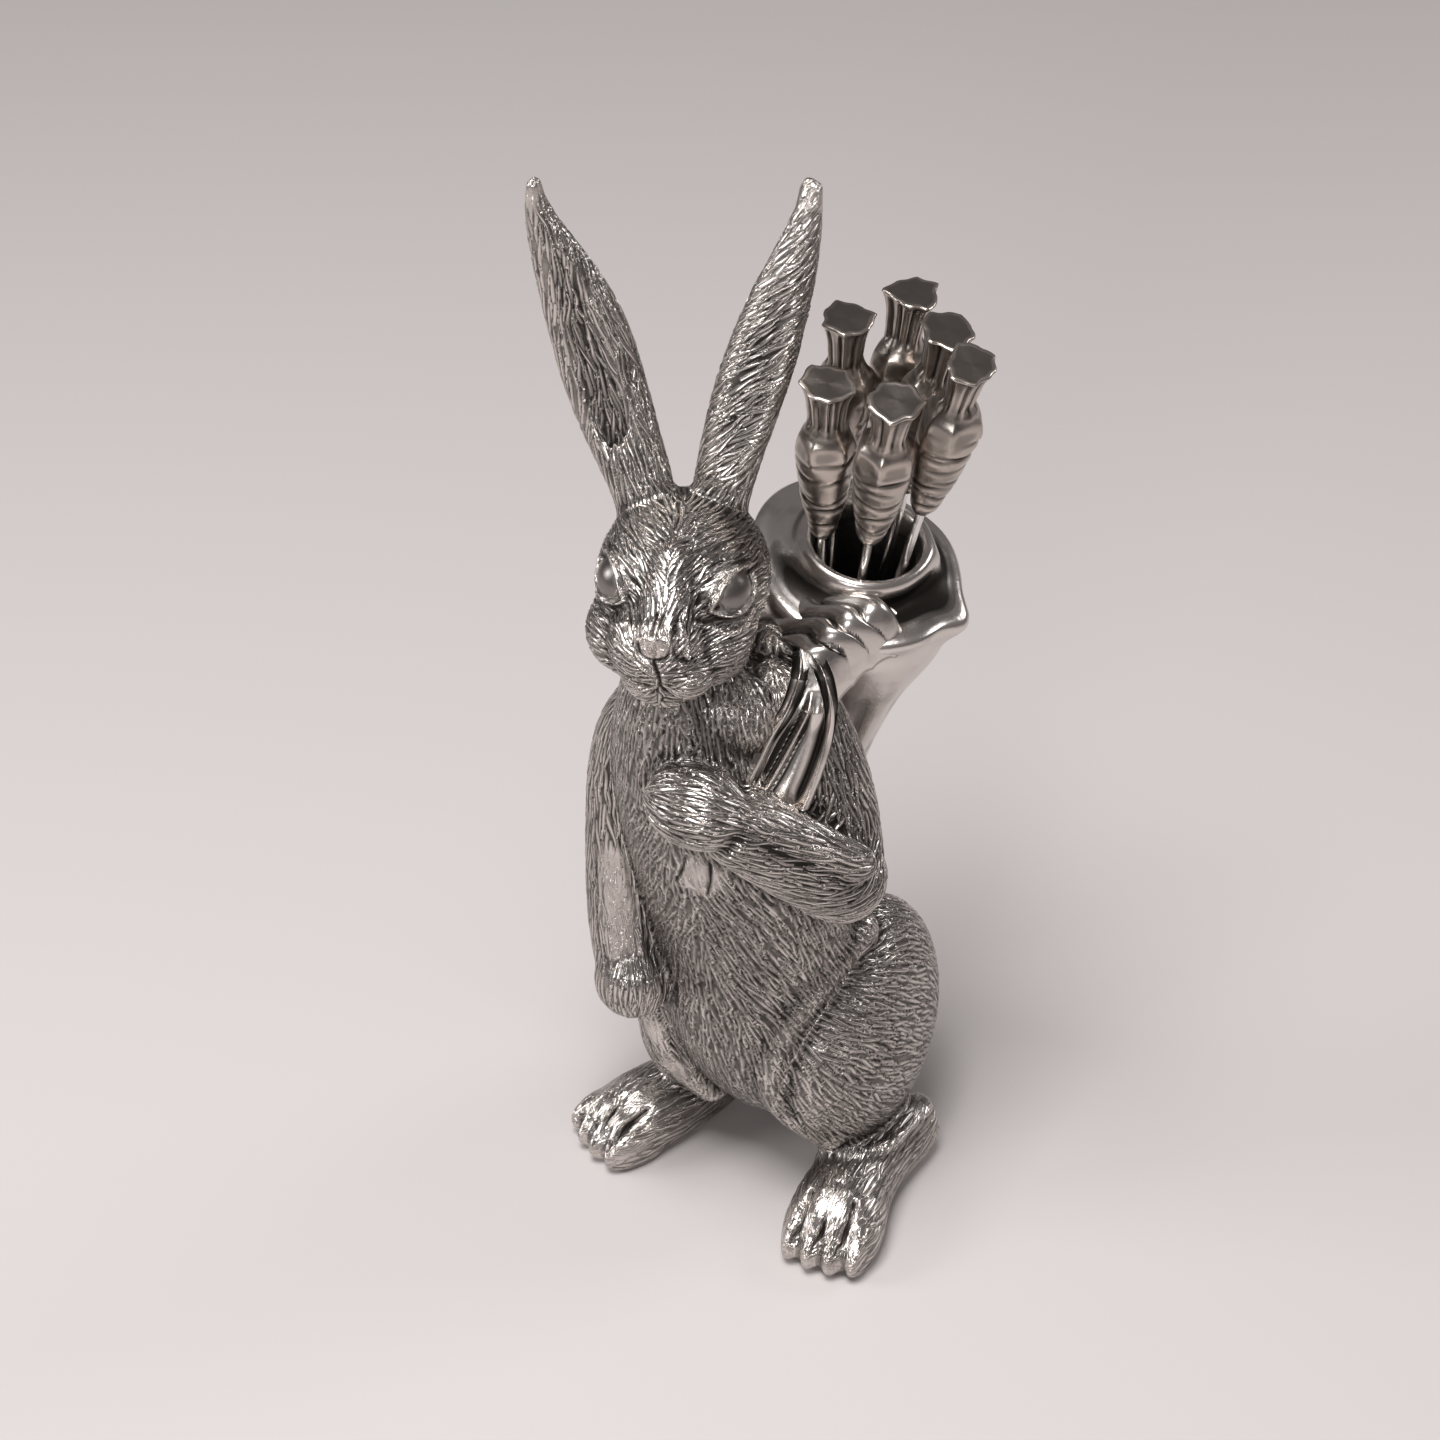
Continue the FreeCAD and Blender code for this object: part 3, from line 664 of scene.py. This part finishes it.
LID_LINES = (
    (0.6, 1, ((6, -12, 3.2), (6.8, -11.6, 5), (8.2, -10, 6.8), (9.8, -7, 7.6), (11.4, -4.6, 7))),
    (0.55, 0.8, ((6, -12, 3.2), (8, -11.4, 2), (10.6, -9, 1.8), (12.4, -6.4, 3.2), (12.2, -5, 5.4))),
    (0.55, 0.5, ((4.2, -14.4, 2), (7, -13.2, 0.4), (10, -10.8, -0.6), (12.6, -7.4, 0.4))),
)
FACE_LINES = (
    (0.35, -0.5, ((-0.7, -21.6, -0.8), (0.1, -21.2, -3.4), (0.2, -20.6, -6.6))),
    (0.4, -0.6, ((0.2, -20.6, -6.8), (2, -20, -9.2), (4.6, -18.6, -10.4), (8, -15.6, -9.4))),
    (0.4, -0.6, ((0.2, -20.6, -6.8), (-2, -20, -9.4), (-4.6, -18.6, -10.8), (-7.4, -15.6, -9.8))),
    (0.35, -0.4, ((-3.4, -20.4, 1.2), (-2.6, -21.2, -0.2), (-0.7, -21.8, -0.7), (1.2, -21, -0.2),
                  (2, -20, 1.4))),
    (0.26, -0.6, ((-0.9, -18.6, 5.6), (-0.9, -21, 3.4))),
    (0.26, -0.5, ((-2, -18.6, 5), (-1.9, -20.8, 3.3))),
    (0.26, -0.5, ((0.2, -18.6, 5.4), (0.1, -20.8, 3.6))),
    (0.5, 0.6, ((2.6, -18.4, 4.2), (3.6, -18.4, 1.6), (4, -18.6, -1))),
    (0.6, -0.5, ((3, -18, 6), (2.4, -19.6, 2.6), (3, -20.2, -0.6), (5.6, -19.6, -2))),
)


def mirrored(lines):
    """The same lines on the other side of the face."""
    return tuple(
        (half_width, tall, tuple((-x, y, z) for x, y, z in line)) for half_width, tall, line in lines
    )


head = casting_patch("head", 2)
finish_casting(
    head, "head", HEAD_GUIDES, (5, 1), 12, relief=0.34, guide_frame=HEAD_FRAME,
    hub=np.array((0, -4, 0)) * MM,
    # The nose and the lids are bare, smooth and coloured brightest: a painted highlight.
    bare=(
        ((-0.9, -20.6, 2.4), 2.2), ((9.4, -9, 4.2), 3.2), ((-9.4, -9, 4.2), 3.2),
    ),
    lines=LID_LINES + mirrored(LID_LINES) + FACE_LINES,
)


# ==== Ears =======================================================================================
# Two long cast blades with shallow hollows in front. Their hair lies in long slanted feathers.

RIGHT_EAR_GUIDES = (
    ((-12, -14, 134), (-0.5, 0, 1)),
    ((-18, -12, 150), (-0.35, 0, 1)),
    ((-28, -10, 150), (0.1, 0, 1)),
    ((-22, -10, 166), (-0.6, 0, 1)),
    ((-32, -10, 168), (0, 0, 1)),
    ((-34, -10, 186), (-0.2, 0, 1)),
)
LEFT_EAR_GUIDES = (
    ((-4, -8, 134), (0.3, 0.2, 1)),
    ((-8, -4, 150), (0.8, 0.4, 0.75)),
    ((2, 0, 152), (0.9, 0.4, 0.6)),
    ((-2, 2, 168), (0.9, 0.4, 0.7)),
    ((1, 9, 182), (0.6, 0.5, 0.8)),
)
EAR_TIPS = (((-34.1, -9.9, 188.6), 2.4), ((1.7, 10.6, 188.6), 2.6))
for node, guides, seed in (("right_ear", RIGHT_EAR_GUIDES, 13), ("left_ear", LEFT_EAR_GUIDES, 14)):
    ear = casting_patch(node, 2)
    finish_casting(ear, node, guides, (6.5, 1.05), seed, relief=0.3, bare=EAR_TIPS)


# ==== Arms =======================================================================================
# The right arm hangs at the side, with a smooth flat between two low edges on its forearm. The
# left arm is bent up and its paw holds the end of the cloth.

RIGHT_ARM_GUIDES = (
    ((-16, -14, 100), (-0.2, 0, -1)),
    ((-24, -14, 80), (0.1, 0, -1)),
    ((-20, -22, 60), (0.2, -0.2, -1)),
    ((-14, -26, 48), (0.1, -0.2, -1)),
)
right_arm = casting_patch("right_arm", 2)
# The flat on the forearm is bare and coloured brightest: a painted highlight.
FOREARM_FLAT = [((-16.9 + 0.6 * n, -20.2 - 0.45 * n, 71 - 2.6 * n), 1.8) for n in range(7)]
FOREARM_EDGES = (
    (0.6, 0.5, ((-19.8, -18.4, 73), (-18.4, -20.6, 64), (-15.6, -23.6, 54.6))),
    (0.5, 0.4, ((-13.6, -19.4, 71), (-12, -20.4, 62), (-10.8, -21.6, 55.4))),
)
finish_casting(
    right_arm, "right_arm", RIGHT_ARM_GUIDES, (7, 1.2), 15, relief=0.26, bare=FOREARM_FLAT,
    lines=FOREARM_EDGES,
)
LEFT_ARM_GUIDES = (
    ((16, -12, 100), (0.3, -0.1, -1)),
    ((24, -4, 92), (0.3, 0.1, -1)),
    ((28, -8, 78), (-0.1, -0.7, -0.5)),
    ((24, -16, 74), (-0.7, -0.6, 0.1)),
    ((22, -20, 86), (-0.75, -0.6, 0.5)),
    ((14, -26, 92), (-0.8, -0.5, 0.35)),
    ((4, -32, 98), (-0.95, -0.2, 0.05)),
    ((6, -30, 92), (-0.9, -0.3, 0.2)),
)
left_arm = casting_patch("left_arm", 2)
finish_casting(left_arm, "left_arm", LEFT_ARM_GUIDES, (7, 1.2), 16, relief=0.4)


# ==== Haunches ===================================================================================
# The thighs sit on the torso. A rounded ridge runs down the front of each, and the fur sweeps
# back and down from it.

LEFT_HAUNCH_GUIDES = (
    ((20, 0, 58), (0.5, 0.8, 0.1)),
    ((17, -14, 50), (0.75, 0.3, -0.5)),
    ((13, -18, 38), (0.5, -0.1, -0.9)),
    ((22, -10, 44), (0.6, 0.7, -0.5)),
    ((28, 0, 36), (0.2, 0.8, -0.6)),
    ((20, -14, 24), (0.5, 0.4, -0.9)),
    ((27, 6, 18), (0, 0.8, -0.7)),
    ((22, 20, 36), (0, 0.5, -0.9)),
)
RIGHT_HAUNCH_GUIDES = (
    ((-16, -12, 44), (0.2, -0.1, -1)),
    ((-8, -16, 28), (0.5, 0, -1)),
    ((-22, 0, 36), (-0.2, 0.8, -0.6)),
    ((-16, 20, 36), (0, 0.5, -0.9)),
)
# The bare spots on the thighs' ridges are smooth and coloured brightest: a painted highlight.
for node, guides, seed, bare in (
    ("left_haunch", LEFT_HAUNCH_GUIDES, 17, (((17.8, -5.4, 55.4), 1.6), ((16.6, -10, 52.4), 0.8))),
    ("right_haunch", RIGHT_HAUNCH_GUIDES, 18, (((-12, -15.5, 32), 1.6), ((-8.6, -14.5, 24), 1.6))),
):
    haunch = casting_patch(node, 1)
    finish_casting(haunch, node, guides, (5.6, 1.15), seed, relief=0.26, bare=bare)


# ==== Feet =======================================================================================
# Long smooth feet with rounded tops. Deep grooves part the four toes.

LEFT_TOE_LINES = (
    (0.55, -1.3, ((20.6, -18, 10.6), (21.2, -23, 8.4), (21.8, -28.2, 4))),
    (0.55, -1.3, ((24.6, -15, 12), (25.4, -22, 9), (26, -29.4, 3.6))),
    (0.55, -1.3, ((28.6, -17, 11), (29.6, -22.6, 8.2), (30, -28, 4))),
    (0.5, 0.5, ((22.8, -17, 11.4), (23.4, -23, 9), (23.8, -28.6, 5))),
    (0.5, 0.5, ((26.8, -16, 11.6), (27.6, -22.8, 8.8), (28, -28.4, 5))),
)
RIGHT_TOE_LINES = (
    (0.55, -1.3, ((-21.6, -11.4, 10), (-24.4, -16.6, 7.8), (-26.2, -21, 4))),
    (0.55, -1.3, ((-18.2, -12.4, 11), (-21, -18.6, 8.4), (-23, -23, 3.6))),
    (0.55, -1.3, ((-14.8, -14.6, 10), (-17.2, -19.6, 7.8), (-18.8, -23.6, 4))),
)
for node, guide, seed, lines, bare in (
    ("left_foot", (0.1, -1, 0), 19, LEFT_TOE_LINES, (((25.4, -23, 8), 7),)),
    ("right_foot", (-0.4, -1, 0), 20, RIGHT_TOE_LINES, (((-20, -17, 8), 7),)),
):
    foot = casting_patch(node, 2)
    low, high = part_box(node)
    finish_casting(
        foot, node, [((low / MM).to_tuple(), guide)], (6, 1.6), seed, relief=0.16, lines=lines, bare=bare
    )


# ==== Tail =======================================================================================
# A short round tail, cast by itself and pegged to the rump.

tail = casting_patch("tail", 1)
finish_casting(tail, "tail", [((2, 26, 30), (0, 1, -1)), ((2, 34, 18), (0, 0.3, -1))], (5, 1.4), 21)

bpy.data.objects.remove(skin)


# ==== Eyes =======================================================================================
# Two smooth beads of pewter, set between the lids.

EYE_RADIUS = 4
EYE_PLACE = (8, -8, 4.2)
eye_pewter = antique_pewter("eye_pewter", (0.27, 0.25, 0.235), (0.05, 0.045, 0.04), 0.34, 0.4, 0)
for side, name in ((1, "left_eye"), (-1, "right_eye")):
    bpy.ops.object.select_all(action="DESELECT")
    bpy.ops.mesh.primitive_uv_sphere_add(segments=64, ring_count=40, radius=EYE_RADIUS * MM)
    eye = bpy.context.object
    eye.name = name
    eye.data.transform(Matrix.Translation(Vector((side * EYE_PLACE[0], *EYE_PLACE[1:])) * MM))
    eye.data.transform(HEAD_FRAME)
    store(eye.data, "patina_and_painted_light", np.full(len(eye.data.vertices), 0.2))
    eye.data.shade_smooth()
    eye.data.materials.append(eye_pewter)
    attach(eye, "hare")
    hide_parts("head")


# ==== Sack =======================================================================================
# A smooth cloth sack, cast with a collar that is turned over at its neck and drawn to a point at
# one side. A tapered well for the picks' pins runs down the middle. A peg holds it to the back.

SACK_PLACE = (
    Matrix.Translation(Vector((-2.1, 22.8, 54.3)) * MM)
    @ Matrix.Rotation(math.radians(10.2), 4, "Y")
    @ Matrix.Rotation(math.radians(6.2), 4, "X")
)
# Radius and height along the sack's axis, from its foot over the lip and down the well.
SACK_OUTLINE = (
    (0, 17), (4.8, 17.3), (7, 21.5), (8.7, 31), (11.8, 45), (14.4, 55), (15.8, 61.4), (16.3, 64),
    (16.2, 65.2), (15.4, 65.9), (13.8, 66.2), (12.2, 67.4), (11.4, 69.6), (11.1, 71.4),
    (10.5, 72.6), (9.7, 72.8), (9.05, 72.1), (8.75, 71), (8.3, 67),
    (7, 55), (5.4, 40), (4.3, 30), (3.8, 25.6), (0, 25.3),
)
# Swellings and dents: bearing round the axis, height, half spread in degrees and in height, and
# how far the wall moves out and up.
SACK_SWELLINGS = (
    (6, 64, 11, 3.4, 2.6, -0.4),
    (8, 56, 22, 8, 1.4, 0),
    (-30, 65, 22, 1.6, 0.6, 0.8),
    (-18, 68.6, 46, 2, -1.5, -1.4),
    (-34, 64.6, 30, 1.5, 0.9, 0.4),
    (24, 69, 14, 3, 1.2, 0.8),
    (165, 66, 66, 5, 3.2, 3.4),
    (165, 70.5, 60, 1.4, -0.8, -0.6),
    (60, 67, 24, 3, 0.8, 0.6),
    (-60, 50, 16, 12, -0.7, 0),
    (-24, 44, 9, 16, 0.5, 0),
    (-42, 40, 8, 14, -0.4, 0),
    (60, 40, 18, 20, -0.8, 0),
    (120, 50, 20, 20, 0.7, 0),
)


def place_all(frame_matrix, points):
    """Points in a frame's millimetres, moved to the row's frame in metres."""
    turn = np.array(frame_matrix.to_3x3())
    return points * MM @ turn.T + np.array(frame_matrix.translation)


def shaped_grid(name, columns, rows, place):
    """A sheet of facets whose corners go where `place` puts them, from how far across and how
    far along they are, each from 0 to 1. Edges that meet are joined."""
    bpy.ops.object.select_all(action="DESELECT")
    bpy.ops.mesh.primitive_grid_add(x_subdivisions=columns, y_subdivisions=rows, size=1)
    piece = bpy.context.object
    piece.name = name
    grid = vectors(piece.data.vertices, "co") + 0.5
    move_points(piece.data, place(grid[:, 0], grid[:, 1]))
    in_edit_mode(
        piece,
        lambda: bpy.ops.mesh.remove_doubles(threshold=1e-6),
        lambda: bpy.ops.mesh.normals_make_consistent(inside=False),
    )
    return piece


def sack_wall(across, along):
    """Where the sack's wall runs: round its axis, and along its outline."""
    outline = smooth_line(SACK_OUTLINE, 400)
    share = np.linspace(0, 1, 400)
    radius = np.interp(along, share, outline[:, 0])
    height = np.interp(along, share, outline[:, 1])
    lip = share[outline[:, 1].argmax()]
    outer = np.clip((lip - along) / 0.03, 0, 1)
    bearing = across * 2 * math.pi
    base_height = height.copy()
    for at, level, wide, tall, out, up in SACK_SWELLINGS:
        turn = np.degrees(np.angle(np.exp(1j * (bearing - math.radians(at)))))
        swell = np.exp(-(turn / wide) ** 2 - ((base_height - level) / tall) ** 2) * outer
        radius = radius + out * swell
        height = height + up * swell
    back = np.interp(height, (17, 31, 59, 69), (-4, -3, -2, 0)) * outer
    points = np.stack([radius * np.cos(bearing), radius * np.sin(bearing) + back, height], axis=1)
    return place_all(SACK_PLACE, points)


def finish_smooth(piece, body, slot, material, *nodes, reach=10, patina_and_shade=6):
    """Give a smooth piece its material and its place in the object. What lies lower than its neighbourhood,
    as far as reach, is coloured darker and what stands out lighter: patina in small hollows, and painted
    shade over the broad hollows that a long reach finds."""
    mesh = piece.data
    points = vectors(mesh.vertices, "co")
    dip = np.einsum("ij,ij->i", spread(mesh, points, reach) - points, vectors(mesh.vertices, "normal"))
    store(mesh, "patina_and_painted_light", np.clip(0.2 + dip / MM * patina_and_shade, 0, 1))
    mesh.shade_smooth()
    mesh.materials.clear()
    mesh.materials.append(material)
    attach(piece, body)
    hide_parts(*nodes)


polished_pewter = antique_pewter(
    "polished_pewter", (0.42, 0.39, 0.37), (0.035, 0.031, 0.028), 0.25, 0.45, 0
)
sack = shaped_grid("cloth_sack", 144, 150, sack_wall)
# Its long reach darkens the broad hollow under the collar: painted shade.
finish_smooth(sack, "hare", "pewter_polished", polished_pewter, "sack", reach=60, patina_and_shade=2.5)


# ==== Cloth over the shoulder ====================================================================
# The sack's loose cloth is gathered in pleats between its neck and the left shoulder. One end
# hangs down the chest in folds, with a rolled hem, and the left paw holds it.

PLEAT_EDGES = (-0.2, 0.12, 0.48, 0.66, 0.83, 1.1)
PLEAT_LINE = ((17.6, 10, 115.6), (17, 5, 119.8), (14.8, 0.8, 119.4), (12.8, -3, 117.4), (11.4, -6.4, 114.6))
PLEATS_LEFT, PLEATS_RIGHT = -15, 7.4
PLEAT_THICKNESS = 3.4
HANGING_THICKNESS = 1.6
HANGING_SINK = 0.8
HEM_TURN = 2.6


def ridge_row(share, edges):
    """Rounded ridges side by side, between edges, with sharp grooves between them."""
    height = np.zeros_like(share)
    for low, high in zip(edges[:-1], edges[1:]):
        middle, half = (low + high) / 2, (high - low) / 2
        height = np.maximum(height, np.clip(1 - ((share - middle) / half) ** 2, 0, 1) ** 0.5)
    return height


def pleat_skin(across, along):
    """The pleats run across the shoulder, dip towards the neck and droop at their outer ends."""
    line = smooth_line(PLEAT_LINE, 100)
    middle = np.stack([np.interp(along, np.linspace(0, 1, 100), line[:, axis]) for axis in range(3)], 1)
    side = PLEATS_LEFT + (PLEATS_RIGHT - PLEATS_LEFT) * across
    lean = along + 0.012 * side + 0.03 * np.sin(side * 0.9 + along * 5)
    ridge = ridge_row(lean, PLEAT_EDGES)
    outer, inner = np.clip(side / PLEATS_RIGHT, 0, 1), np.clip(side / PLEATS_LEFT, 0, 1)
    swell = (2.3 - 0.9 * inner) * (1 - 0.7 * outer ** 3) * ridge
    points = middle + np.outer(side, (1, -0.3, 0)) + np.outer(outer ** 2, (-2.4, 2.8, -8))
    points += np.outer(inner ** 1.5, (0, 2.4, -2.8))
    points[:, 2] += swell
    return points * MM


def thicken(piece, thickness):
    """Give a sheet its thickness inwards, and turn its faces outwards."""
    apply_modifier(piece, "SOLIDIFY", thickness=thickness * MM, offset=-1)
    in_edit_mode(piece, lambda: bpy.ops.mesh.normals_make_consistent(inside=False))


pleats = shaped_grid("shoulder_pleats", 60, 110, pleat_skin)
thicken(pleats, PLEAT_THICKNESS)
# Its long reach darkens the hollows between the pleats: painted shade.
finish_smooth(pleats, "hare", "pewter_polished", polished_pewter, "shoulder_cloth", reach=90, patina_and_shade=3)

CLOTH_LEFT = (
    (9.6, -5.2, 117), (11.4, -9.4, 114), (11.2, -12.8, 110), (9.4, -15.8, 105), (8.2, -18, 100.4),
    (6.8, -21, 95),
)
CLOTH_RIGHT = (
    (11, -5, 117.4), (16.4, -8.2, 114.4), (18.4, -9.4, 110.6), (18.6, -9.8, 105), (18.2, -12, 99),
    (17.4, -15, 93),
)
# Folds down the hanging end: how far across they start and end, half their width, their height and
# how far along they start.
HANGING_FOLDS = (
    (0.08, 0.06, 0.08, 2.3, 0),
    (0.93, 0.9, 0.09, 2, 0),
    (0.6, 0.3, 0.06, 1.7, 0.3),
    (0.7, 0.6, 0.17, 1, 0.3),
)


def hanging_skin(across, along):
    """Folds that run down the hanging end, which widens downwards. Its two hems turn inwards."""
    share = np.linspace(0, 1, 100)
    left, right = smooth_line(CLOTH_LEFT, 100), smooth_line(CLOTH_RIGHT, 100)
    near = np.stack([np.interp(along, share, left[:, axis]) for axis in range(3)], 1)
    far = np.stack([np.interp(along, share, right[:, axis]) for axis in range(3)], 1)
    points = near + (far - near) * across[:, None]
    outward = np.array([0.45, -0.75, 0.45])
    relief = np.zeros_like(across)
    for start, end, wide, tall, begins in HANGING_FOLDS:
        at = start + (end - start) * along
        grown = np.clip((along - begins) / 0.12, 0, 1)
        relief = np.maximum(relief, grown * tall * np.exp(-((across - at) / wide) ** 2))
    turned = HEM_TURN * np.clip(1 - across / 0.05, 0, 1) ** 2
    turned += HEM_TURN * np.clip((across - 0.96) / 0.04, 0, 1) ** 2
    relief -= turned
    open_out = np.clip(along / 0.2, 0.3, 1)
    return (points + ((relief - HANGING_SINK) * open_out)[:, None] * outward) * MM


hanging = shaped_grid("hanging_cloth", 90, 110, hanging_skin)
thicken(hanging, HANGING_THICKNESS)
# Its long reach darkens the hollows between the folds: painted shade.
finish_smooth(hanging, "hare", "pewter_polished", polished_pewter, "shoulder_cloth", reach=120, patina_and_shade=4)


# ==== Carrots ====================================================================================
# Six cast carrots are the picks' handles: a ringed root, faceted shoulders and a bunch of cut
# stalks that flare to a nearly flat top. Each differs a little. Their pins are the solids' own.

CARROT_OUTLINE = (
    (0, 0), (1.3, 0.05), (1.9, 1), (2.9, 5), (3.7, 9), (4.2, 13), (4.75, 18), (4.85, 20.4),
    (4.4, 22.6), (3.4, 24.2), (3, 25.6), (3.1, 28), (3.5, 31), (4.2, 33), (4.45, 33.4),
    (4.2, 33.6), (3.4, 33.6), (2.4, 33.6), (0, 33.6),
)
RINGS = 9
CORNERS = 7
FAN_APEX = Vector((-2.1, 22.8, 54.3)) * MM


def straight_sided(bearing, corners, reaches):
    """The radius of a polygon with uneven corners, in each direction."""
    leg = np.searchsorted(corners, bearing, side="right") - 1
    start, end = corners[leg], np.append(corners[1:], corners[0] + 2 * math.pi)[leg]
    near, far = reaches[leg], np.roll(reaches, -1)[leg]
    area = near * far * np.sin(end - start)
    return area / (near * np.sin(bearing - start) + far * np.sin(end - bearing))


def carrot_skin(seed):
    """The wall of one carrot, from its point up to the flat top of its stalks."""
    rng = np.random.default_rng(seed)
    tilts = rng.uniform(0, 2 * math.pi, RINGS)
    levels = np.linspace(1.6, 19.6, RINGS) + rng.uniform(-0.5, 0.5, RINGS)
    step = 2 * math.pi / CORNERS
    stalk_corners = np.arange(CORNERS) * step + rng.uniform(-0.26, 0.26, CORNERS)
    stalk_corners -= stalk_corners[0]
    stalk_reaches = rng.uniform(0.86, 1.1, CORNERS)
    facet_corners = np.arange(6) * math.pi / 3 + rng.uniform(-0.2, 0.2, 6)
    facet_corners -= facet_corners[0]
    facet_reaches = rng.uniform(0.94, 1.08, 6)

    def wall(across, along):
        outline = smooth_line(CARROT_OUTLINE, 300)
        share = np.linspace(0, 1, 300)
        radius = np.interp(along, share, outline[:, 0])
        height = np.interp(along, share, outline[:, 1])
        bearing = across * 2 * math.pi * 0.999999
        root = np.clip((24.4 - height) / 1.5, 0, 1)
        for level, tilt in zip(levels, tilts):
            ring = level + 0.6 * np.sin(bearing + tilt) + 0.25 * np.sin(3 * bearing + 2 * tilt)
            depth = 0.2 + 0.2 * np.sin(bearing + 3 * tilt) + 0.1 * np.sin(3 * bearing + tilt)
            radius = radius - np.maximum(depth, 0) * np.exp(-((height - ring) / 0.5) ** 2) * root
        shoulder = np.exp(-((height - 21) / 2.6) ** 2)
        facet = straight_sided(bearing, facet_corners, facet_reaches)
        radius = radius * (1 + shoulder * (facet - 0.98))
        stalk = np.clip((height - 24.4) / 1.4, 0, 1)
        side = straight_sided(bearing, stalk_corners, stalk_reaches)
        radius = radius * (1 + stalk * (side * 1.04 - 1))
        flute = np.abs(np.sin(bearing * (CORNERS + 2) / 2 + tilts[0]))
        radius = radius - 0.5 * (1 - flute) ** 2 * np.clip((33.5 - height) / 1.2, 0, 1) * stalk
        radius = radius * (1 + stalk * 0.03 * (np.sin(5 * bearing + tilts[1]) + np.sin(8 * bearing)))
        crown = stalk * np.clip((height - 32.6) / 1, 0, 1) * radius / 4.4
        height = height + 0.14 * crown * np.sin(3 * bearing + tilts[2])
        return np.stack([radius * np.cos(bearing), radius * np.sin(bearing), height], 1)

    return wall


carrot_pewter = antique_pewter(
    "carrot_pewter", (0.31, 0.275, 0.25), (0.03, 0.025, 0.02), 0.28, 0.5, 0
)
pin_steel = antique_pewter("pin_steel", (0.45, 0.44, 0.43), (0.3, 0.3, 0.3), 0.2, 0.3, 0)
for number, joint in enumerate(frame["joints"], start=1):
    axis = Vector(joint["axis"]).normalized()
    cad_points = vectors(frame["nodes"][f"carrot_{number}"].data.vertices, "co")
    tip = ((cad_points - np.array(FAN_APEX)) @ np.array(axis)).min()
    turn = axis.to_track_quat("Z", "Y").to_matrix().to_4x4()
    carrot_place = Matrix.Translation(FAN_APEX + axis * tip) @ turn @ Matrix.Rotation(number * 2.1, 4, "Z")
    carrot_wall = carrot_skin(number)
    carrot = shaped_grid(
        f"ringed_carrot_{number}", 84, 120,
        lambda across, along: place_all(carrot_place, carrot_wall(across, along)),
    )
    finish_smooth(carrot, f"pick_{number}", "pewter_dark", carrot_pewter, f"carrot_{number}", patina_and_shade=4)
    pin = frame["nodes"][f"pin_{number}"]
    pin.data.materials.clear()
    pin.data.materials.append(pin_steel)
